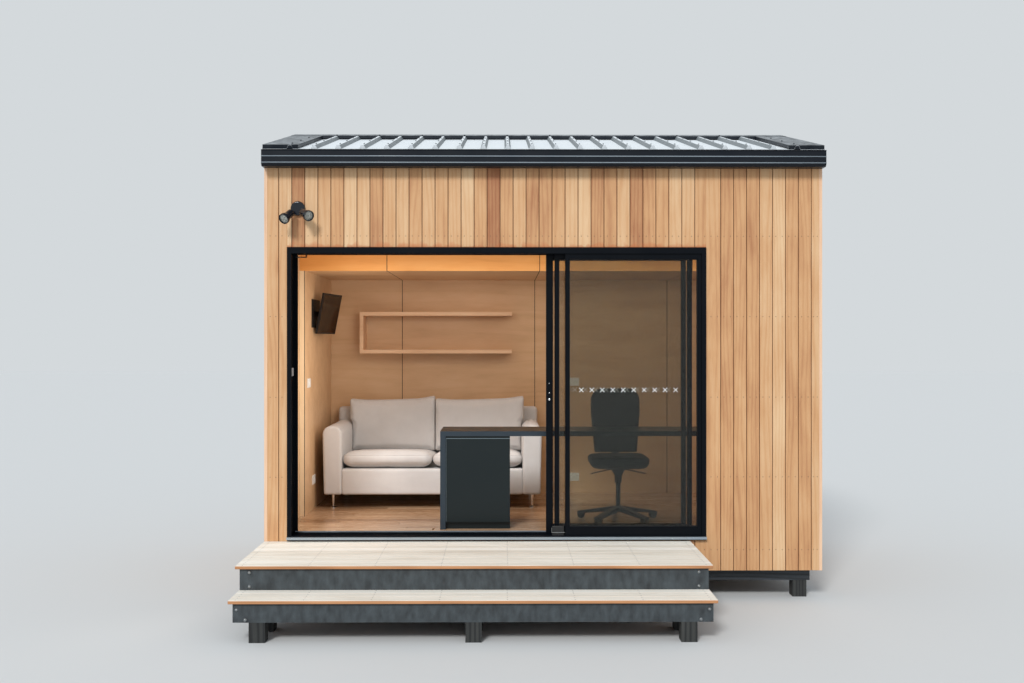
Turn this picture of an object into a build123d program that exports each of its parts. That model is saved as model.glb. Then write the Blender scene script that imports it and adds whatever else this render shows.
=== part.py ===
from build123d import *
import os
from math import atan, ceil, cos, floor, sin

# A garden office pod on stumps: a timber-framed room clad in upright boards, with a ribbed metal
# gable roof, a three-track sliding door across the front and a two-step timber platform before it.
# X runs along the front, +Y to the rear and +Z up. The ground is Z = 0, and the origin is the
# middle of the ground that the whole part covers. Sizes are in millimetres.

# Body of the pod, outside face to outside face.
pod_width = 4020.0
pod_depth = 2400.0
floor_level = 465.0
skirt_level = 209.0

# Walls, from the outside in.
cladding_thickness = 20.0
wall_core = 62.0
lining_thickness = 12.0
liner_thickness = 42.0
front_wall_thickness = 148.0
corner_trim_size = 22.0

# Floor and what carries it.
floor_thickness = 35.0
joist_depth = 140.0
joist_width = 45.0
joist_count = 11
bearer_depth = 170.0
bearer_width = 90.0
bearer_inset = 120.0
bearer_end_inset = 45.0
stump_size = 100.0
stump_columns = 5

# Lining of the room: sheets with open shadow joints, and a lowered ceiling over the rear part.
sheet_width = 1220.0
sheet_gap = 4.0
soffit_level = 2425.0
front_ceiling_level = 2760.0
bulkhead_setback = 885.0

# Roof: a shallow gable with its ridge along X, measured at the underside of the sheets' pans.
roof_slope = 0.2408
eave_level = 3249.0
batten_height = 36.0
batten_width = 70.0
batten_count = 4
rafter_height = 93.0
rafter_width = 45.0
rafter_count = 10
ridge_beam_width = 35.0
ridge_beam_height = 170.0
sheet_metal = 1.6
eave_overhang = 50.0
ridge_opening = 12.0
rib_pitch = 173.0
rib_height = 27.0
rib_top_width = 18.0
rib_base_width = 46.0
roof_edge_gap = 2.0
cap_clearance = 0.5

# Folded caps along the ridge and the two gable edges.
cap_metal = 2.0
ridge_cap_wing = 165.0
cap_lip = 24.0
barge_width = 250.0
barge_drop = 120.0

# Gutters.
gutter_reach = 110.0
gutter_height = 118.0
gutter_drop = 24.0
gutter_metal = 2.5
gutter_bead = 4.0
gutter_bead_height = 8.0
gutter_bead_slope = 2.0
gutter_bead_drops = (8.0, 51.0, 96.0)
gutter_chamfer = 15.0

# Door: a frame with three tracks, one fixed panel outermost and two leaves that slide behind it.
door_left_margin = 165.0
door_right_margin = 840.0
door_height = 2109.0
frame_lip = 6.0
track_clearance = 5.0
track_rib = 2.0
leaf_thickness = 38.0
frame_projection = 12.0
jamb_face = 31.0
head_face = 45.0
head_top = 8.0
sill_thickness = 27.0
leaf_lift = 6.0
leaf_top_entry = 16.0
stile_width = 30.0
lock_stile_width = 46.0
top_rail_height = 54.0
bottom_rail_height = 64.0
glass_thickness = 6.0
glass_entry = 8.0
fixed_share = 0.328
middle_share = 0.332
leaf_overlap = 27.0
middle_stagger = 74.0
inner_stagger = 60.0
roller_radius = 16.0
roller_width = 12.0
roller_inset = 140.0
running_gap = 0.3
subsill_reach = 22.0
subsill_height = 18.0

# Handle on the leading stile of the inner leaf.
handle_level = 1027.0
handle_length = 150.0
handle_width = 24.0
handle_plate = 5.0
handle_stand_off = 42.0
handle_bar = 12.0
handle_foot = 9.0
handle_corner = 6.0

# Platform and lower step in front of the door.
deck_width = 3066.0
deck_depth = 885.0
deck_level = 425.0
deck_board_thickness = 22.0
deck_board_count = 10
deck_board_gap = 4.0
deck_nosing = 21.0
deck_side_nosing = 26.0
deck_frame_depth = 140.0
step_frame_depth = 118.0
rim_thickness = 35.0
deck_joist_count = 8
step_side_inset = 21.0
step_going = 277.0
step_level = 266.0
step_board_count = 3
deck_stump_inset = 175.0
deck_stump_columns = 3

# Twin spotlight on the front wall.
light_side_gap = 244.0
light_level = 2816.0
light_base_radius = 52.0
light_base_height = 26.0
light_base_round = 12.0
light_arm_radius = 8.0
light_arm_reach = 20.0
light_arm_drop = 28.0
light_spread = 33.0
light_knuckle_radius = 11.0
light_head_radius = 28.5
light_head_length = 108.0
light_head_round = 10.0
light_bezel_radius = 39.0
light_bezel_length = 20.0
light_bezel_wall = 4.0
light_flare_length = 26.0
light_lens_depth = 9.0
light_left_aim = (-0.39, -0.76, -0.52)
light_right_aim = (0.57, -0.75, -0.33)

# Shelf on the rear wall.
shelf_side_gap = 293.0
shelf_length = 1368.0
shelf_depth = 250.0
shelf_bottom_level = 1754.0
shelf_height = 372.0
shelf_board = 33.0

# Desk along the front glass.
desk_length = 2676.0
desk_setback = 250.0
desk_depth = 450.0
desk_level = 1195.0
desk_thickness = 37.0
pedestal_width = 518.0
pedestal_inset = 20.0
pedestal_side = 40.0
pedestal_recess = 12.0
kick_height = 55.0
kick_recess = 50.0

# Two-seat sofa on the rear wall.
sofa_side_gap = 70.0
sofa_width = 1840.0
sofa_depth = 940.0
sofa_rear_gap = 40.0
sofa_leg = 117.0
sofa_leg_foot_radius = 8.0
sofa_leg_top_radius = 15.0
sofa_leg_pad = 26.0
sofa_leg_pad_height = 6.0
sofa_leg_pad_taper = 10.0
sofa_leg_inset = 85.0
sofa_arm_width = 163.0
sofa_arm_height = 690.0
sofa_arm_taper = 14.0
sofa_arm_round = 64.0
sofa_base_height = 215.0
sofa_back_thickness = 110.0
sofa_back_height = 806.0
sofa_back_inset = 14.0
sofa_back_round = 38.0
seat_cushion_height = 183.0
seat_cushion_round = 60.0
back_cushion_thickness = 190.0
back_cushion_height = 390.0
back_cushion_round = 50.0
back_cushion_shoulder = 22.0
cushion_gap = 6.0
cushion_side_gap = 2.0

# Office chair at the desk.
chair_offset = 1370.0
chair_setback = 720.0
chair_seat_height = 501.0
chair_seat_thickness = 84.0
chair_seat_width = 466.0
chair_seat_depth = 450.0
chair_seat_corner = 110.0
chair_seat_top_round = 22.0
chair_seat_under_round = 48.0
chair_back_width = 400.0
chair_back_foot_width = 345.0
chair_back_height = 520.0
chair_back_shoulder = 320.0
chair_back_thickness = 58.0
chair_back_corner = 100.0
chair_back_round = 18.0
chair_back_lean = 6.0
chair_post_width = 62.0
chair_post_thickness = 12.0
chair_post_height = 240.0
chair_boot_radius = 28.0
chair_boot_level = 290.0
chair_column_radius = 18.0
chair_housing_radius = 72.0
chair_housing_height = 70.0
chair_lever_radius = 5.0
chair_lever_reach = 215.0
chair_lever_drop = 57.0
chair_star_arms = 5
chair_star_reach = 325.0
chair_star_level = 105.0
chair_star_width = 50.0
chair_star_height = 34.0
chair_hub_radius = 34.0
chair_castor_radius = 27.0
chair_castor_width = 40.0

# Flat screen on a bracket on the left wall, leaning over the room and turned to the door.
screen_width = 520.0
screen_height = 345.0
screen_thickness = 18.0
screen_bezel = 14.0
screen_recess = 1.5
screen_back_width = 330.0
screen_back_height = 230.0
screen_back_depth = 28.0
screen_level = 1925.0
screen_setback = 1262.0
screen_lean = 11.0
screen_turn = 8.0
screen_plate_width = 380.0
screen_plate_height = 235.0
screen_plate_thickness = 8.0
screen_plate_setback = 1195.0
screen_wall_gap = 12.0
screen_arm = 40.0

# Levels and planes that follow from the sizes above.
half_width = pod_width / 2
step_reach = deck_depth + step_going
front_y = -(pod_depth + gutter_reach - step_reach) / 2
rear_y = front_y + pod_depth
ridge_y = (front_y + rear_y) / 2
core_x = half_width - cladding_thickness
room_x = core_x - wall_core
front_room_x = room_x - lining_thickness
liner_x = front_room_x - liner_thickness
front_core_y = front_y + cladding_thickness
front_room_y = front_y + front_wall_thickness
rear_core_y = rear_y - cladding_thickness
rear_room_y = rear_core_y - wall_core
liner_y = rear_room_y - lining_thickness - liner_thickness
bulkhead_y = front_y + bulkhead_setback
plate_level = floor_level - floor_thickness
joist_bottom = plate_level - joist_depth
bearer_bottom = joist_bottom - bearer_depth
door_left = -half_width + door_left_margin
door_right = half_width - door_right_margin
door_bottom = plate_level
door_top = door_bottom + door_height
light_x = -half_width + light_side_gap
shelf_left = -liner_x + shelf_side_gap
desk_left = front_room_x - desk_length
sofa_left = -liner_x + sofa_side_gap
ridge_level = eave_level + roof_slope * (pod_depth / 2)
roof_angle = atan(roof_slope)
rib_top_height = (rib_height + sheet_metal) / cos(roof_angle) + cap_clearance


def box(x0, x1, y0, y1, z0, z1):
    """A block between two corners."""
    centre = ((x0 + x1) / 2, (y0 + y1) / 2, (z0 + z1) / 2)
    return Pos(*centre) * Box(x1 - x0, y1 - y0, z1 - z0)


def prism_x(outline, x0, x1):
    """A closed outline of (y, z) points, extruded along X."""
    face = make_face(Plane.YZ.offset(x0) * Polyline(*outline, close=True))
    return extrude(face, amount=x1 - x0, dir=(1, 0, 0))


def prism_y(outline, y0, y1):
    """A closed outline of (x, z) points, extruded to the rear."""
    plane = Plane(origin=(0, y0, 0), x_dir=(1, 0, 0), z_dir=(0, -1, 0))
    face = make_face(plane * Polyline(*outline, close=True))
    return extrude(face, amount=y1 - y0, dir=(0, 1, 0))


def upright(x, y, z0, z1, radius):
    """A standing cylinder between two levels."""
    return Pos(x, y, (z0 + z1) / 2) * Cylinder(radius, z1 - z0)


def rod(start, end, radius):
    """A round bar from one point to another."""
    span = end - start
    return extrude(Plane(origin=start, z_dir=span) * Circle(radius), amount=span.length)


def group(solids):
    """Separate like solids that share a node."""
    return Compound(children=list(solids))


def roof_z(y):
    """Height of the underside of the roof sheets at a place between the eaves."""
    return ridge_level - roof_slope * abs(y - ridge_y)


def gable_band(y0, y1, low, high, x0, x1):
    """A bent band that follows both roof slopes, between two heights above the sheets' plane."""
    outline = [
        (y0, roof_z(y0) + low),
        (ridge_y, ridge_level + low),
        (y1, roof_z(y1) + low),
        (y1, roof_z(y1) + high),
        (ridge_y, ridge_level + high),
        (y0, roof_z(y0) + high),
    ]
    return prism_x(outline, x0, x1)


def slope_band(y0, y1, low, high, x0, x1):
    """A straight band on one roof slope, between two heights above the sheets' plane."""
    outline = [
        (y0, roof_z(y0) + low),
        (y1, roof_z(y1) + low),
        (y1, roof_z(y1) + high),
        (y0, roof_z(y0) + high),
    ]
    return prism_x(outline, x0, x1)


def spread(first, last, count):
    """Evenly spaced places from first to last."""
    return [first + (last - first) * i / (count - 1) for i in range(count)]


# Base


def ground_stumps():
    """Square posts under the bearers, the platform and the lower step."""
    half = stump_size / 2
    stumps = []
    for x in spread(-core_x + bearer_inset, core_x - bearer_inset, stump_columns):
        for y in bearer_lines():
            stumps.append(box(x - half, x + half, y - half, y + half, 0, bearer_bottom))
    for x in spread(step_left + deck_stump_inset, step_right - deck_stump_inset, deck_stump_columns):
        front = deck_front_y + deck_nosing
        for y in (front, front_y - stump_size):
            stumps.append(box(x - half, x + half, y, y + stump_size, 0, deck_frame_bottom))
        y = step_front_y + deck_nosing
        stumps.append(box(x - half, x + half, y, y + stump_size, 0, step_frame_bottom))
    return group(stumps)


def bearer_lines():
    """Where the three bearers run, front to rear."""
    return spread(front_core_y + bearer_inset, rear_core_y - bearer_inset, 3)


def bearers():
    """Three timbers along X that carry the joists."""
    half = bearer_width / 2
    end = core_x - bearer_end_inset
    return group(
        box(-end, end, y - half, y + half, bearer_bottom, joist_bottom) for y in bearer_lines()
    )


def floor_rims():
    """Front and rear boards of the floor frame."""
    return group(
        box(-core_x, core_x, y0, y0 + joist_width, joist_bottom, plate_level)
        for y0 in (front_core_y, rear_core_y - joist_width)
    )


def floor_joists():
    """Joists between the front and rear boards, the outermost along the side walls."""
    y0 = front_core_y + joist_width
    y1 = rear_core_y - joist_width
    return group(
        box(x, x + joist_width, y0, y1, joist_bottom, plate_level)
        for x in spread(-core_x, core_x - joist_width, joist_count)
    )


def floor_boards():
    """Boarded floor of the room, from the door sill to the rear wall."""
    return box(-room_x, room_x, front_room_y, rear_room_y, plate_level, floor_level)


# Walls


def side_wall(side):
    """Framed gable wall, cut to the slope of the rafters' tops."""
    outline = [
        (front_core_y, plate_level),
        (rear_core_y, plate_level),
        (rear_core_y, roof_z(rear_core_y) - batten_height),
        (ridge_y, ridge_level - batten_height),
        (front_core_y, roof_z(front_core_y) - batten_height),
    ]
    inner, outer = sorted((side * room_x, side * core_x))
    return prism_x(outline, inner, outer)


def long_wall(x0, x1, y0, y1, bottom):
    """A stretch of framed wall along X with its top cut to the rafters' undersides."""
    under = batten_height + rafter_height
    outline = [(y0, bottom), (y1, bottom), (y1, roof_z(y1) - under), (y0, roof_z(y0) - under)]
    return prism_x(outline, x0, x1)


def front_wall(x0, x1, bottom):
    """A stretch of the front wall's frame."""
    return long_wall(x0, x1, front_core_y, front_room_y - lining_thickness, bottom)


def side_cladding(side):
    """Boards on a gable wall, up to the roof sheets."""
    y0 = front_y + corner_trim_size
    y1 = rear_y - corner_trim_size
    outline = [
        (y0, skirt_level),
        (y1, skirt_level),
        (y1, roof_z(y1) - roof_edge_gap),
        (ridge_y, ridge_level - roof_edge_gap),
        (y0, roof_z(y0) - roof_edge_gap),
    ]
    inner, outer = sorted((side * core_x, side * half_width))
    return prism_x(outline, inner, outer)


def long_cladding(x0, x1, y0, bottom):
    """Boards on a wall along X, up to the roof sheets."""
    y1 = y0 + cladding_thickness
    top = min(roof_z(y0), roof_z(y1)) - roof_edge_gap
    return box(x0, x1, y0, y1, bottom, top)


def door_bay_cladding():
    """Boards over the door and the short ones under its sill."""
    return group([
        long_cladding(door_left, door_right, front_y, door_top),
        box(door_left, door_right, front_y, front_core_y, skirt_level, door_bottom),
    ])


def corner_trims():
    """Four square trims that close the corners of the cladding."""
    size = corner_trim_size
    trims = []
    for x in (-half_width, half_width - size):
        for y in (front_y, rear_y - size):
            top = min(roof_z(y), roof_z(y + size)) - roof_edge_gap
            trims.append(box(x, x + size, y, y + size, skirt_level, top))
    corner = box(-core_x, core_x, front_core_y, rear_core_y, skirt_level, ridge_level)
    return group(trim - corner for trim in trims)


# Lining


def sheet_spans(x0, x1):
    """The stretches between the shadow joints, which stand one sheet apart about the middle."""
    first = ceil(x0 / sheet_width)
    last = floor(x1 / sheet_width)
    joints = [i * sheet_width for i in range(first, last + 1)]
    edges = [x0 - sheet_gap / 2] + joints + [x1 + sheet_gap / 2]
    return [(a + sheet_gap / 2, b - sheet_gap / 2) for a, b in zip(edges, edges[1:])]


def side_lining(side):
    """A thin sheet beside the door and the thicker liner of the rear part of the room."""
    sheet = sorted((side * front_room_x, side * room_x))
    liner = sorted((side * liner_x, side * room_x))
    return group([
        box(*sheet, front_room_y, bulkhead_y - sheet_gap, floor_level, front_ceiling_level),
        box(*liner, bulkhead_y, rear_room_y, floor_level, soffit_level),
    ])


def rear_lining():
    """Sheets of the rear wall between the side liners."""
    return group(
        box(x0, x1, liner_y, rear_room_y, floor_level, soffit_level)
        for x0, x1 in sheet_spans(-liner_x, liner_x)
    )


def front_lining():
    """Sheets beside and over the door."""
    y0 = front_room_y - lining_thickness
    top = front_ceiling_level
    return group([
        box(-room_x, door_left - sheet_gap, y0, front_room_y, floor_level, top),
        box(door_right + sheet_gap, room_x, y0, front_room_y, floor_level, top),
        box(door_left, door_right, y0, front_room_y, door_top, top),
    ])


def ceiling_bulkhead():
    """Upright sheets between the low ceiling and the high one."""
    return group(
        box(x0, x1, bulkhead_y, bulkhead_y + lining_thickness, soffit_level, front_ceiling_level)
        for x0, x1 in sheet_spans(-room_x, room_x)
    )


def ceiling_lining():
    """Sheets of the low rear ceiling and of the higher one behind the door."""
    rear_start = bulkhead_y + lining_thickness
    rear_top = soffit_level + lining_thickness
    front_top = front_ceiling_level + lining_thickness
    sheets = []
    for x0, x1 in sheet_spans(-room_x, room_x):
        sheets.append(box(x0, x1, rear_start, rear_room_y, soffit_level, rear_top))
        start = front_room_y - lining_thickness
        sheets.append(box(x0, x1, start, rear_start, front_ceiling_level, front_top))
    return group(sheets)


# Roof


def rafters():
    """Rafters of both slopes, from the walls to the ridge beam."""
    under = batten_height + rafter_height
    half = ridge_beam_width / 2
    return group(
        slope_band(y0, y1, -under, -batten_height, x, x + rafter_width)
        for x in spread(-room_x, room_x - rafter_width, rafter_count)
        for y0, y1 in ((front_core_y, ridge_y - half), (ridge_y + half, rear_core_y))
    )


def ridge_beam():
    """Beam between the two slopes' rafters."""
    half = ridge_beam_width / 2
    top = roof_z(ridge_y + half) - batten_height
    return box(-room_x, room_x, ridge_y - half, ridge_y + half, top - ridge_beam_height, top)


def roof_battens():
    """Battens along X on the rafters, which carry the roof sheets."""
    last = pod_depth / 2 - cladding_thickness - batten_width
    battens = []
    for offset in spread(batten_width, last, batten_count):
        for y0 in (ridge_y + offset, ridge_y - offset - batten_width):
            battens.append(slope_band(y0, y0 + batten_width, -batten_height, 0, -core_x, core_x))
    return group(battens)


def rib_profile():
    """Section across the sheet as (x, z) points: ribs on flat pans, back along the underside."""
    edge = half_width - roof_edge_gap
    count = int((edge - rib_base_width / 2) / rib_pitch + 0.5)
    top = []
    for i in range(-count, count):
        x = (i + 0.5) * rib_pitch
        top += [
            (x - rib_base_width / 2, 0),
            (x - rib_top_width / 2, rib_height),
            (x + rib_top_width / 2, rib_height),
            (x + rib_base_width / 2, 0),
        ]
    top = [(-edge, 0)] + top + [(edge, 0)]
    return [(x, z + sheet_metal) for x, z in top] + list(reversed(top))


def roof_sheet(side):
    """One ribbed slope: side is -1 for the front and 1 for the rear."""
    eave = ridge_y + side * (pod_depth / 2 + eave_overhang)
    run = pod_depth / 2 + eave_overhang - ridge_opening / 2
    level = ridge_level - roof_slope * (pod_depth / 2 + eave_overhang)
    uphill = Vector(0, -side * cos(roof_angle), sin(roof_angle))
    plane = Plane(origin=(0, eave, level), x_dir=(side, 0, 0), z_dir=uphill)
    face = make_face(plane * Polyline(*rib_profile(), close=True))
    return extrude(face, amount=run / cos(roof_angle), dir=uphill)


def ridge_cap():
    """Folded cap over the ridge, with a turned-down lip along both edges notched for the ribs."""
    low = rib_top_height + cap_metal
    wing = ridge_cap_wing
    cap = gable_band(ridge_y - wing, ridge_y + wing, low, low + cap_metal, -half_width, half_width)
    for y0 in (ridge_y - wing - cap_metal, ridge_y + wing):
        cap += slope_band(y0, y0 + cap_metal, low + cap_metal - cap_lip, low + cap_metal,
                          -half_width, half_width)
    for below in (roof_sheet(-1), roof_sheet(1), barge_cap(-1), barge_cap(1)):
        cap -= below
    return cap.solids().sort_by(SortBy.VOLUME)[-1]


def barge_cap(side):
    """Folded cap along a gable edge: a top leg on the ribs, a lip and a leg down the wall."""
    y0 = front_y - eave_overhang
    y1 = rear_y + eave_overhang
    low = rib_top_height
    high = low + cap_metal
    outer = side * half_width
    inner = side * (half_width - barge_width)
    shell = side * (half_width + cap_metal)
    lip = side * (half_width - barge_width - cap_metal)
    cap = gable_band(y0, y1, low, high, *sorted((inner, shell)))
    cap += gable_band(y0, y1, high - barge_drop, high, *sorted((outer, shell)))
    cap += gable_band(y0, y1, high - cap_lip, high, *sorted((lip, inner)))
    return cap


def gutter(side):
    """Open gutter with two beads along its face and a stop end at each end."""
    face_y = front_y if side < 0 else rear_y
    top = roof_z(face_y) - gutter_drop
    bottom = top - gutter_height
    reach = gutter_reach - gutter_bead

    def place(outline):
        return [(face_y + side * out, z) for out, z in outline]

    outline = [
        (0, bottom),
        (reach - gutter_chamfer, bottom),
        (reach, bottom + gutter_chamfer),
        (reach, top),
        (0, top),
    ]
    trough = [
        (gutter_metal, bottom + gutter_metal),
        (reach - gutter_chamfer - gutter_metal / 2, bottom + gutter_metal),
        (reach - gutter_metal, bottom + gutter_chamfer + gutter_metal / 2),
        (reach - gutter_metal, top),
        (gutter_metal, top),
    ]
    inside = half_width - gutter_metal
    body = prism_x(place(outline), -half_width, half_width)
    for drop in gutter_bead_drops:
        level = top - drop
        bead = [
            (reach, level),
            (reach + gutter_bead, level + gutter_bead_slope),
            (reach + gutter_bead, level + gutter_bead_height - gutter_bead_slope),
            (reach, level + gutter_bead_height),
        ]
        body += prism_x(place(bead), -half_width, half_width)
    return body - prism_x(place(trough), -inside, inside)


# Sliding door

frame_front_y = front_y - frame_projection
frame_depth = front_wall_thickness + frame_projection
track_gap = track_clearance * 2 + track_rib
fixed_y = frame_front_y + frame_lip + track_clearance
middle_y = fixed_y + leaf_thickness + track_gap
inner_y = middle_y + leaf_thickness + track_gap
sill_top = door_bottom + sill_thickness
leaf_bottom = sill_top + leaf_lift
leaf_top = door_top - head_face + leaf_top_entry
leaf_total = door_right - door_left - jamb_face * 2 - track_clearance + leaf_overlap * 2
fixed_width = leaf_total * fixed_share
middle_width = leaf_total * middle_share
inner_width = leaf_total - fixed_width - middle_width
fixed_left = door_right - jamb_face - fixed_width
middle_left = fixed_left - middle_stagger
inner_left = middle_left - inner_stagger
middle_travel = middle_left - (fixed_left + leaf_overlap - middle_width)
inner_travel = inner_left - (door_left + jamb_face + track_clearance)


def track_ribs():
    """Where the ribs between the tracks begin, front to rear."""
    return [leaf_y + leaf_thickness + track_clearance for leaf_y in (fixed_y, middle_y)]


def track_spans():
    """The grooves of the frame in which the leaves run."""
    start = frame_front_y + frame_lip
    end = frame_front_y + frame_depth - frame_lip
    ribs = track_ribs()
    return [
        (start, ribs[0]),
        (ribs[0] + track_rib, ribs[1]),
        (ribs[1] + track_rib, end),
    ]


def door_head():
    """Head of the frame with three grooves that the leaves' top rails enter."""
    bottom = door_top - head_face
    head = box(door_left, door_right, frame_front_y, frame_front_y + frame_depth, bottom, door_top)
    for y0, y1 in track_spans():
        head -= box(door_left + jamb_face, door_right - jamb_face, y0, y1, bottom, door_top - head_top)
    return head


def door_sill():
    """Sill of the frame with three shallow tracks, level with the floor at its rear edge."""
    sill = box(door_left, door_right, frame_front_y, frame_front_y + frame_depth, door_bottom, floor_level)
    for y0, y1 in track_spans():
        sill -= box(door_left, door_right, y0, y1, sill_top, floor_level)
    return sill


def door_subsill():
    """Light metal edge strip in front of the sill."""
    top = sill_top
    return box(
        door_left, door_right, frame_front_y - subsill_reach, frame_front_y, top - subsill_height, top
    )


def door_jamb(side):
    """Upright of the frame between sill and head, grooved for the leaves."""
    outer = door_left if side < 0 else door_right
    face = outer - side * jamb_face
    top = door_top - head_face
    rear = frame_front_y + frame_depth
    x0, x1 = sorted((outer, face))
    jamb = box(x0, x1, frame_front_y, rear, floor_level, top)
    groove = outer - side * (jamb_face - leaf_lift)
    x0, x1 = sorted((face, groove))
    for y0, y1 in track_spans():
        jamb -= box(x0, x1, y0, y1, floor_level, top)
    return jamb


def leaf_frame(left, width, y0, left_stile, rollers):
    """Stiles and rails grooved for the glass, on two rollers where the leaf slides."""
    right = left + width
    y1 = y0 + leaf_thickness
    x0, x1, z0, z1 = leaf_opening(left, width, left_stile)
    frame = box(left, right, y0, y1, leaf_bottom, leaf_top) - box(x0, x1, y0, y1, z0, z1)
    frame -= leaf_glass(left, width, y0, left_stile)
    if rollers:
        middle = (y0 + y1) / 2
        level = sill_top + running_gap + roller_radius
        for x in (left + roller_inset, right - roller_inset):
            wheel = Pos(x, middle, level) * Rot(90, 0, 0) * Cylinder(roller_radius, roller_width)
            frame += wheel
    return frame


def leaf_opening(left, width, left_stile):
    """Clear opening between a leaf's stiles and rails."""
    return (
        left + left_stile,
        left + width - stile_width,
        leaf_bottom + bottom_rail_height,
        leaf_top - top_rail_height,
    )


def leaf_glass(left, width, y0, left_stile):
    """Pane in the middle of the leaf's thickness, its edges held in the grooves."""
    x0, x1, z0, z1 = leaf_opening(left, width, left_stile)
    start = y0 + (leaf_thickness - glass_thickness) / 2
    return box(
        x0 - glass_entry, x1 + glass_entry, start, start + glass_thickness, z0 - glass_entry, z1 + glass_entry
    )


def inner_handle():
    """Flush plate outside and a round bar on two feet inside, on the leading stile."""
    x0 = inner_left + (lock_stile_width - handle_width) / 2
    x1 = x0 + handle_width
    z0 = floor_level + handle_level - handle_length / 2
    z1 = z0 + handle_length
    inside = inner_y + leaf_thickness
    plate = box(x0, x1, inner_y - handle_plate, inner_y, z0, z1)
    plate = fillet(plate.edges().filter_by(Axis.Y), handle_corner)
    radius = handle_bar / 2
    middle = (x0 + x1) / 2
    bar_y = inside + handle_stand_off - radius
    bar = upright(middle, bar_y, z0, z1, radius)
    for z in (z0 + handle_bar, z1 - handle_bar):
        bar += rod(Vector(middle, inside, z), Vector(middle, bar_y, z), handle_foot / 2)
    return group([plate, bar])


# Platform and step

deck_left = -half_width
deck_right = deck_left + deck_width
deck_front_y = front_y - deck_depth
deck_frame_top = deck_level - deck_board_thickness
deck_frame_bottom = deck_frame_top - deck_frame_depth
step_front_y = deck_front_y - step_going
step_left = deck_left + step_side_inset
step_right = deck_right - step_side_inset
step_frame_top = step_level - deck_board_thickness
step_frame_bottom = step_frame_top - step_frame_depth


def board_run(x0, x1, y0, y1, top, count):
    """Boards along X that fill a depth with even gaps."""
    width = (y1 - y0 - deck_board_gap * (count - 1)) / count
    pitch = width + deck_board_gap
    return [
        box(x0, x1, y0 + i * pitch, y0 + i * pitch + width, top - deck_board_thickness, top)
        for i in range(count)
    ]


def deck_boards():
    """Boards of the upper platform."""
    return board_run(deck_left, deck_right, deck_front_y, front_y, deck_level, deck_board_count)


def step_boards():
    """Boards of the lower step, up to the platform's fascia."""
    rear = deck_front_y + deck_nosing
    return board_run(step_left, step_right, step_front_y, rear, step_level, step_board_count)


def platform_frames():
    """The x, y and z ranges of the frames under the boards of the platform and the step."""
    return [
        (
            (deck_left + deck_side_nosing, deck_right - deck_side_nosing),
            (deck_front_y + deck_nosing, front_y),
            (deck_frame_bottom, deck_frame_top),
        ),
        (
            (step_left + deck_side_nosing, step_right - deck_side_nosing),
            (step_front_y + deck_nosing, deck_front_y + deck_nosing),
            (step_frame_bottom, step_frame_top),
        ),
    ]


def deck_rims():
    """Dark front and rear boards of both frames."""
    rims = []
    for x, (y0, y1), z in platform_frames():
        rims.append(box(*x, y0, y0 + rim_thickness, *z))
        rims.append(box(*x, y1 - rim_thickness, y1, *z))
    return group(rims)


def deck_joists():
    """Joists between the front and rear boards, the outermost as the dark side boards."""
    joists = []
    for (x0, x1), (y0, y1), z in platform_frames():
        for x in spread(x0, x1 - rim_thickness, deck_joist_count):
            joists.append(box(x, x + rim_thickness, y0 + rim_thickness, y1 - rim_thickness, *z))
    return group(joists)


# Twin spotlight


def light_base():
    """Domed wall plate with two short arms that end in the heads' ball knuckles."""
    centre = Pos(light_x, front_y - light_base_height / 2, light_level)
    plate = centre * Rot(90, 0, 0) * Cylinder(light_base_radius, light_base_height)
    plate = fillet(plate.edges().filter_by(GeomType.CIRCLE).sort_by(Axis.Y)[0], light_base_round)
    for side in (-1, 1):
        pivot = light_pivot(side)
        root = Vector(pivot.X, front_y - light_base_height / 2, pivot.Z)
        plate += rod(root, pivot, light_arm_radius)
        plate += Pos(*pivot) * Sphere(light_knuckle_radius)
    return plate


def light_pivot(side):
    """Centre of a head's knuckle."""
    y = front_y - light_base_height - light_arm_reach
    return Vector(light_x + side * light_spread, y, light_level - light_arm_drop)


def light_head(side, aim):
    """Turned head that flares to a wider bezel round a recessed lens."""
    aim = Vector(*aim).normalized()
    start = light_pivot(side) + aim * (light_knuckle_radius + running_gap)
    length = light_head_length
    outline = [
        (0, 0),
        (light_head_radius, 0),
        (light_head_radius, length - light_bezel_length - light_flare_length),
        (light_bezel_radius, length - light_bezel_length),
        (light_bezel_radius, length),
        (light_bezel_radius - light_bezel_wall, length),
        (light_bezel_radius - light_bezel_wall, length - light_lens_depth),
        (0, length - light_lens_depth),
    ]
    head = revolve(make_face(Plane.XZ * Polyline(*outline, close=True)), Axis.Z)
    head = fillet(head.edges().filter_by(GeomType.CIRCLE).sort_by(Axis.Z)[0], light_head_round)
    return Plane(origin=start, z_dir=aim) * head


# Fitted furniture


def wall_shelf():
    """Two boards joined by one end, open to the right."""
    y0 = liner_y - shelf_depth
    x1 = shelf_left + shelf_length
    top = shelf_bottom_level + shelf_height
    shelf = box(shelf_left, x1, y0, liner_y, shelf_bottom_level, top)
    return shelf - box(
        shelf_left + shelf_board, x1, y0, liner_y, shelf_bottom_level + shelf_board, top - shelf_board
    )


def desk_top():
    """Desk board from the pedestal to the right wall."""
    y0 = front_y + desk_setback
    return box(desk_left, front_room_x, y0, y0 + desk_depth, desk_level - desk_thickness, desk_level)


def desk_pedestal():
    """Cupboard under the desk's left end: a full-height side and a recessed face over a kick."""
    x0 = desk_left
    x1 = desk_left + pedestal_width
    y0 = front_y + desk_setback
    y1 = y0 + desk_depth - pedestal_inset
    top = desk_level - desk_thickness
    body = box(x0, x1, y0, y1, floor_level, top)
    face = x0 + pedestal_side
    body -= box(face, x1, y0, y0 + pedestal_recess, floor_level, top)
    return body - box(face, x1, y0, y0 + kick_recess, floor_level, floor_level + kick_height)


# Sofa

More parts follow.
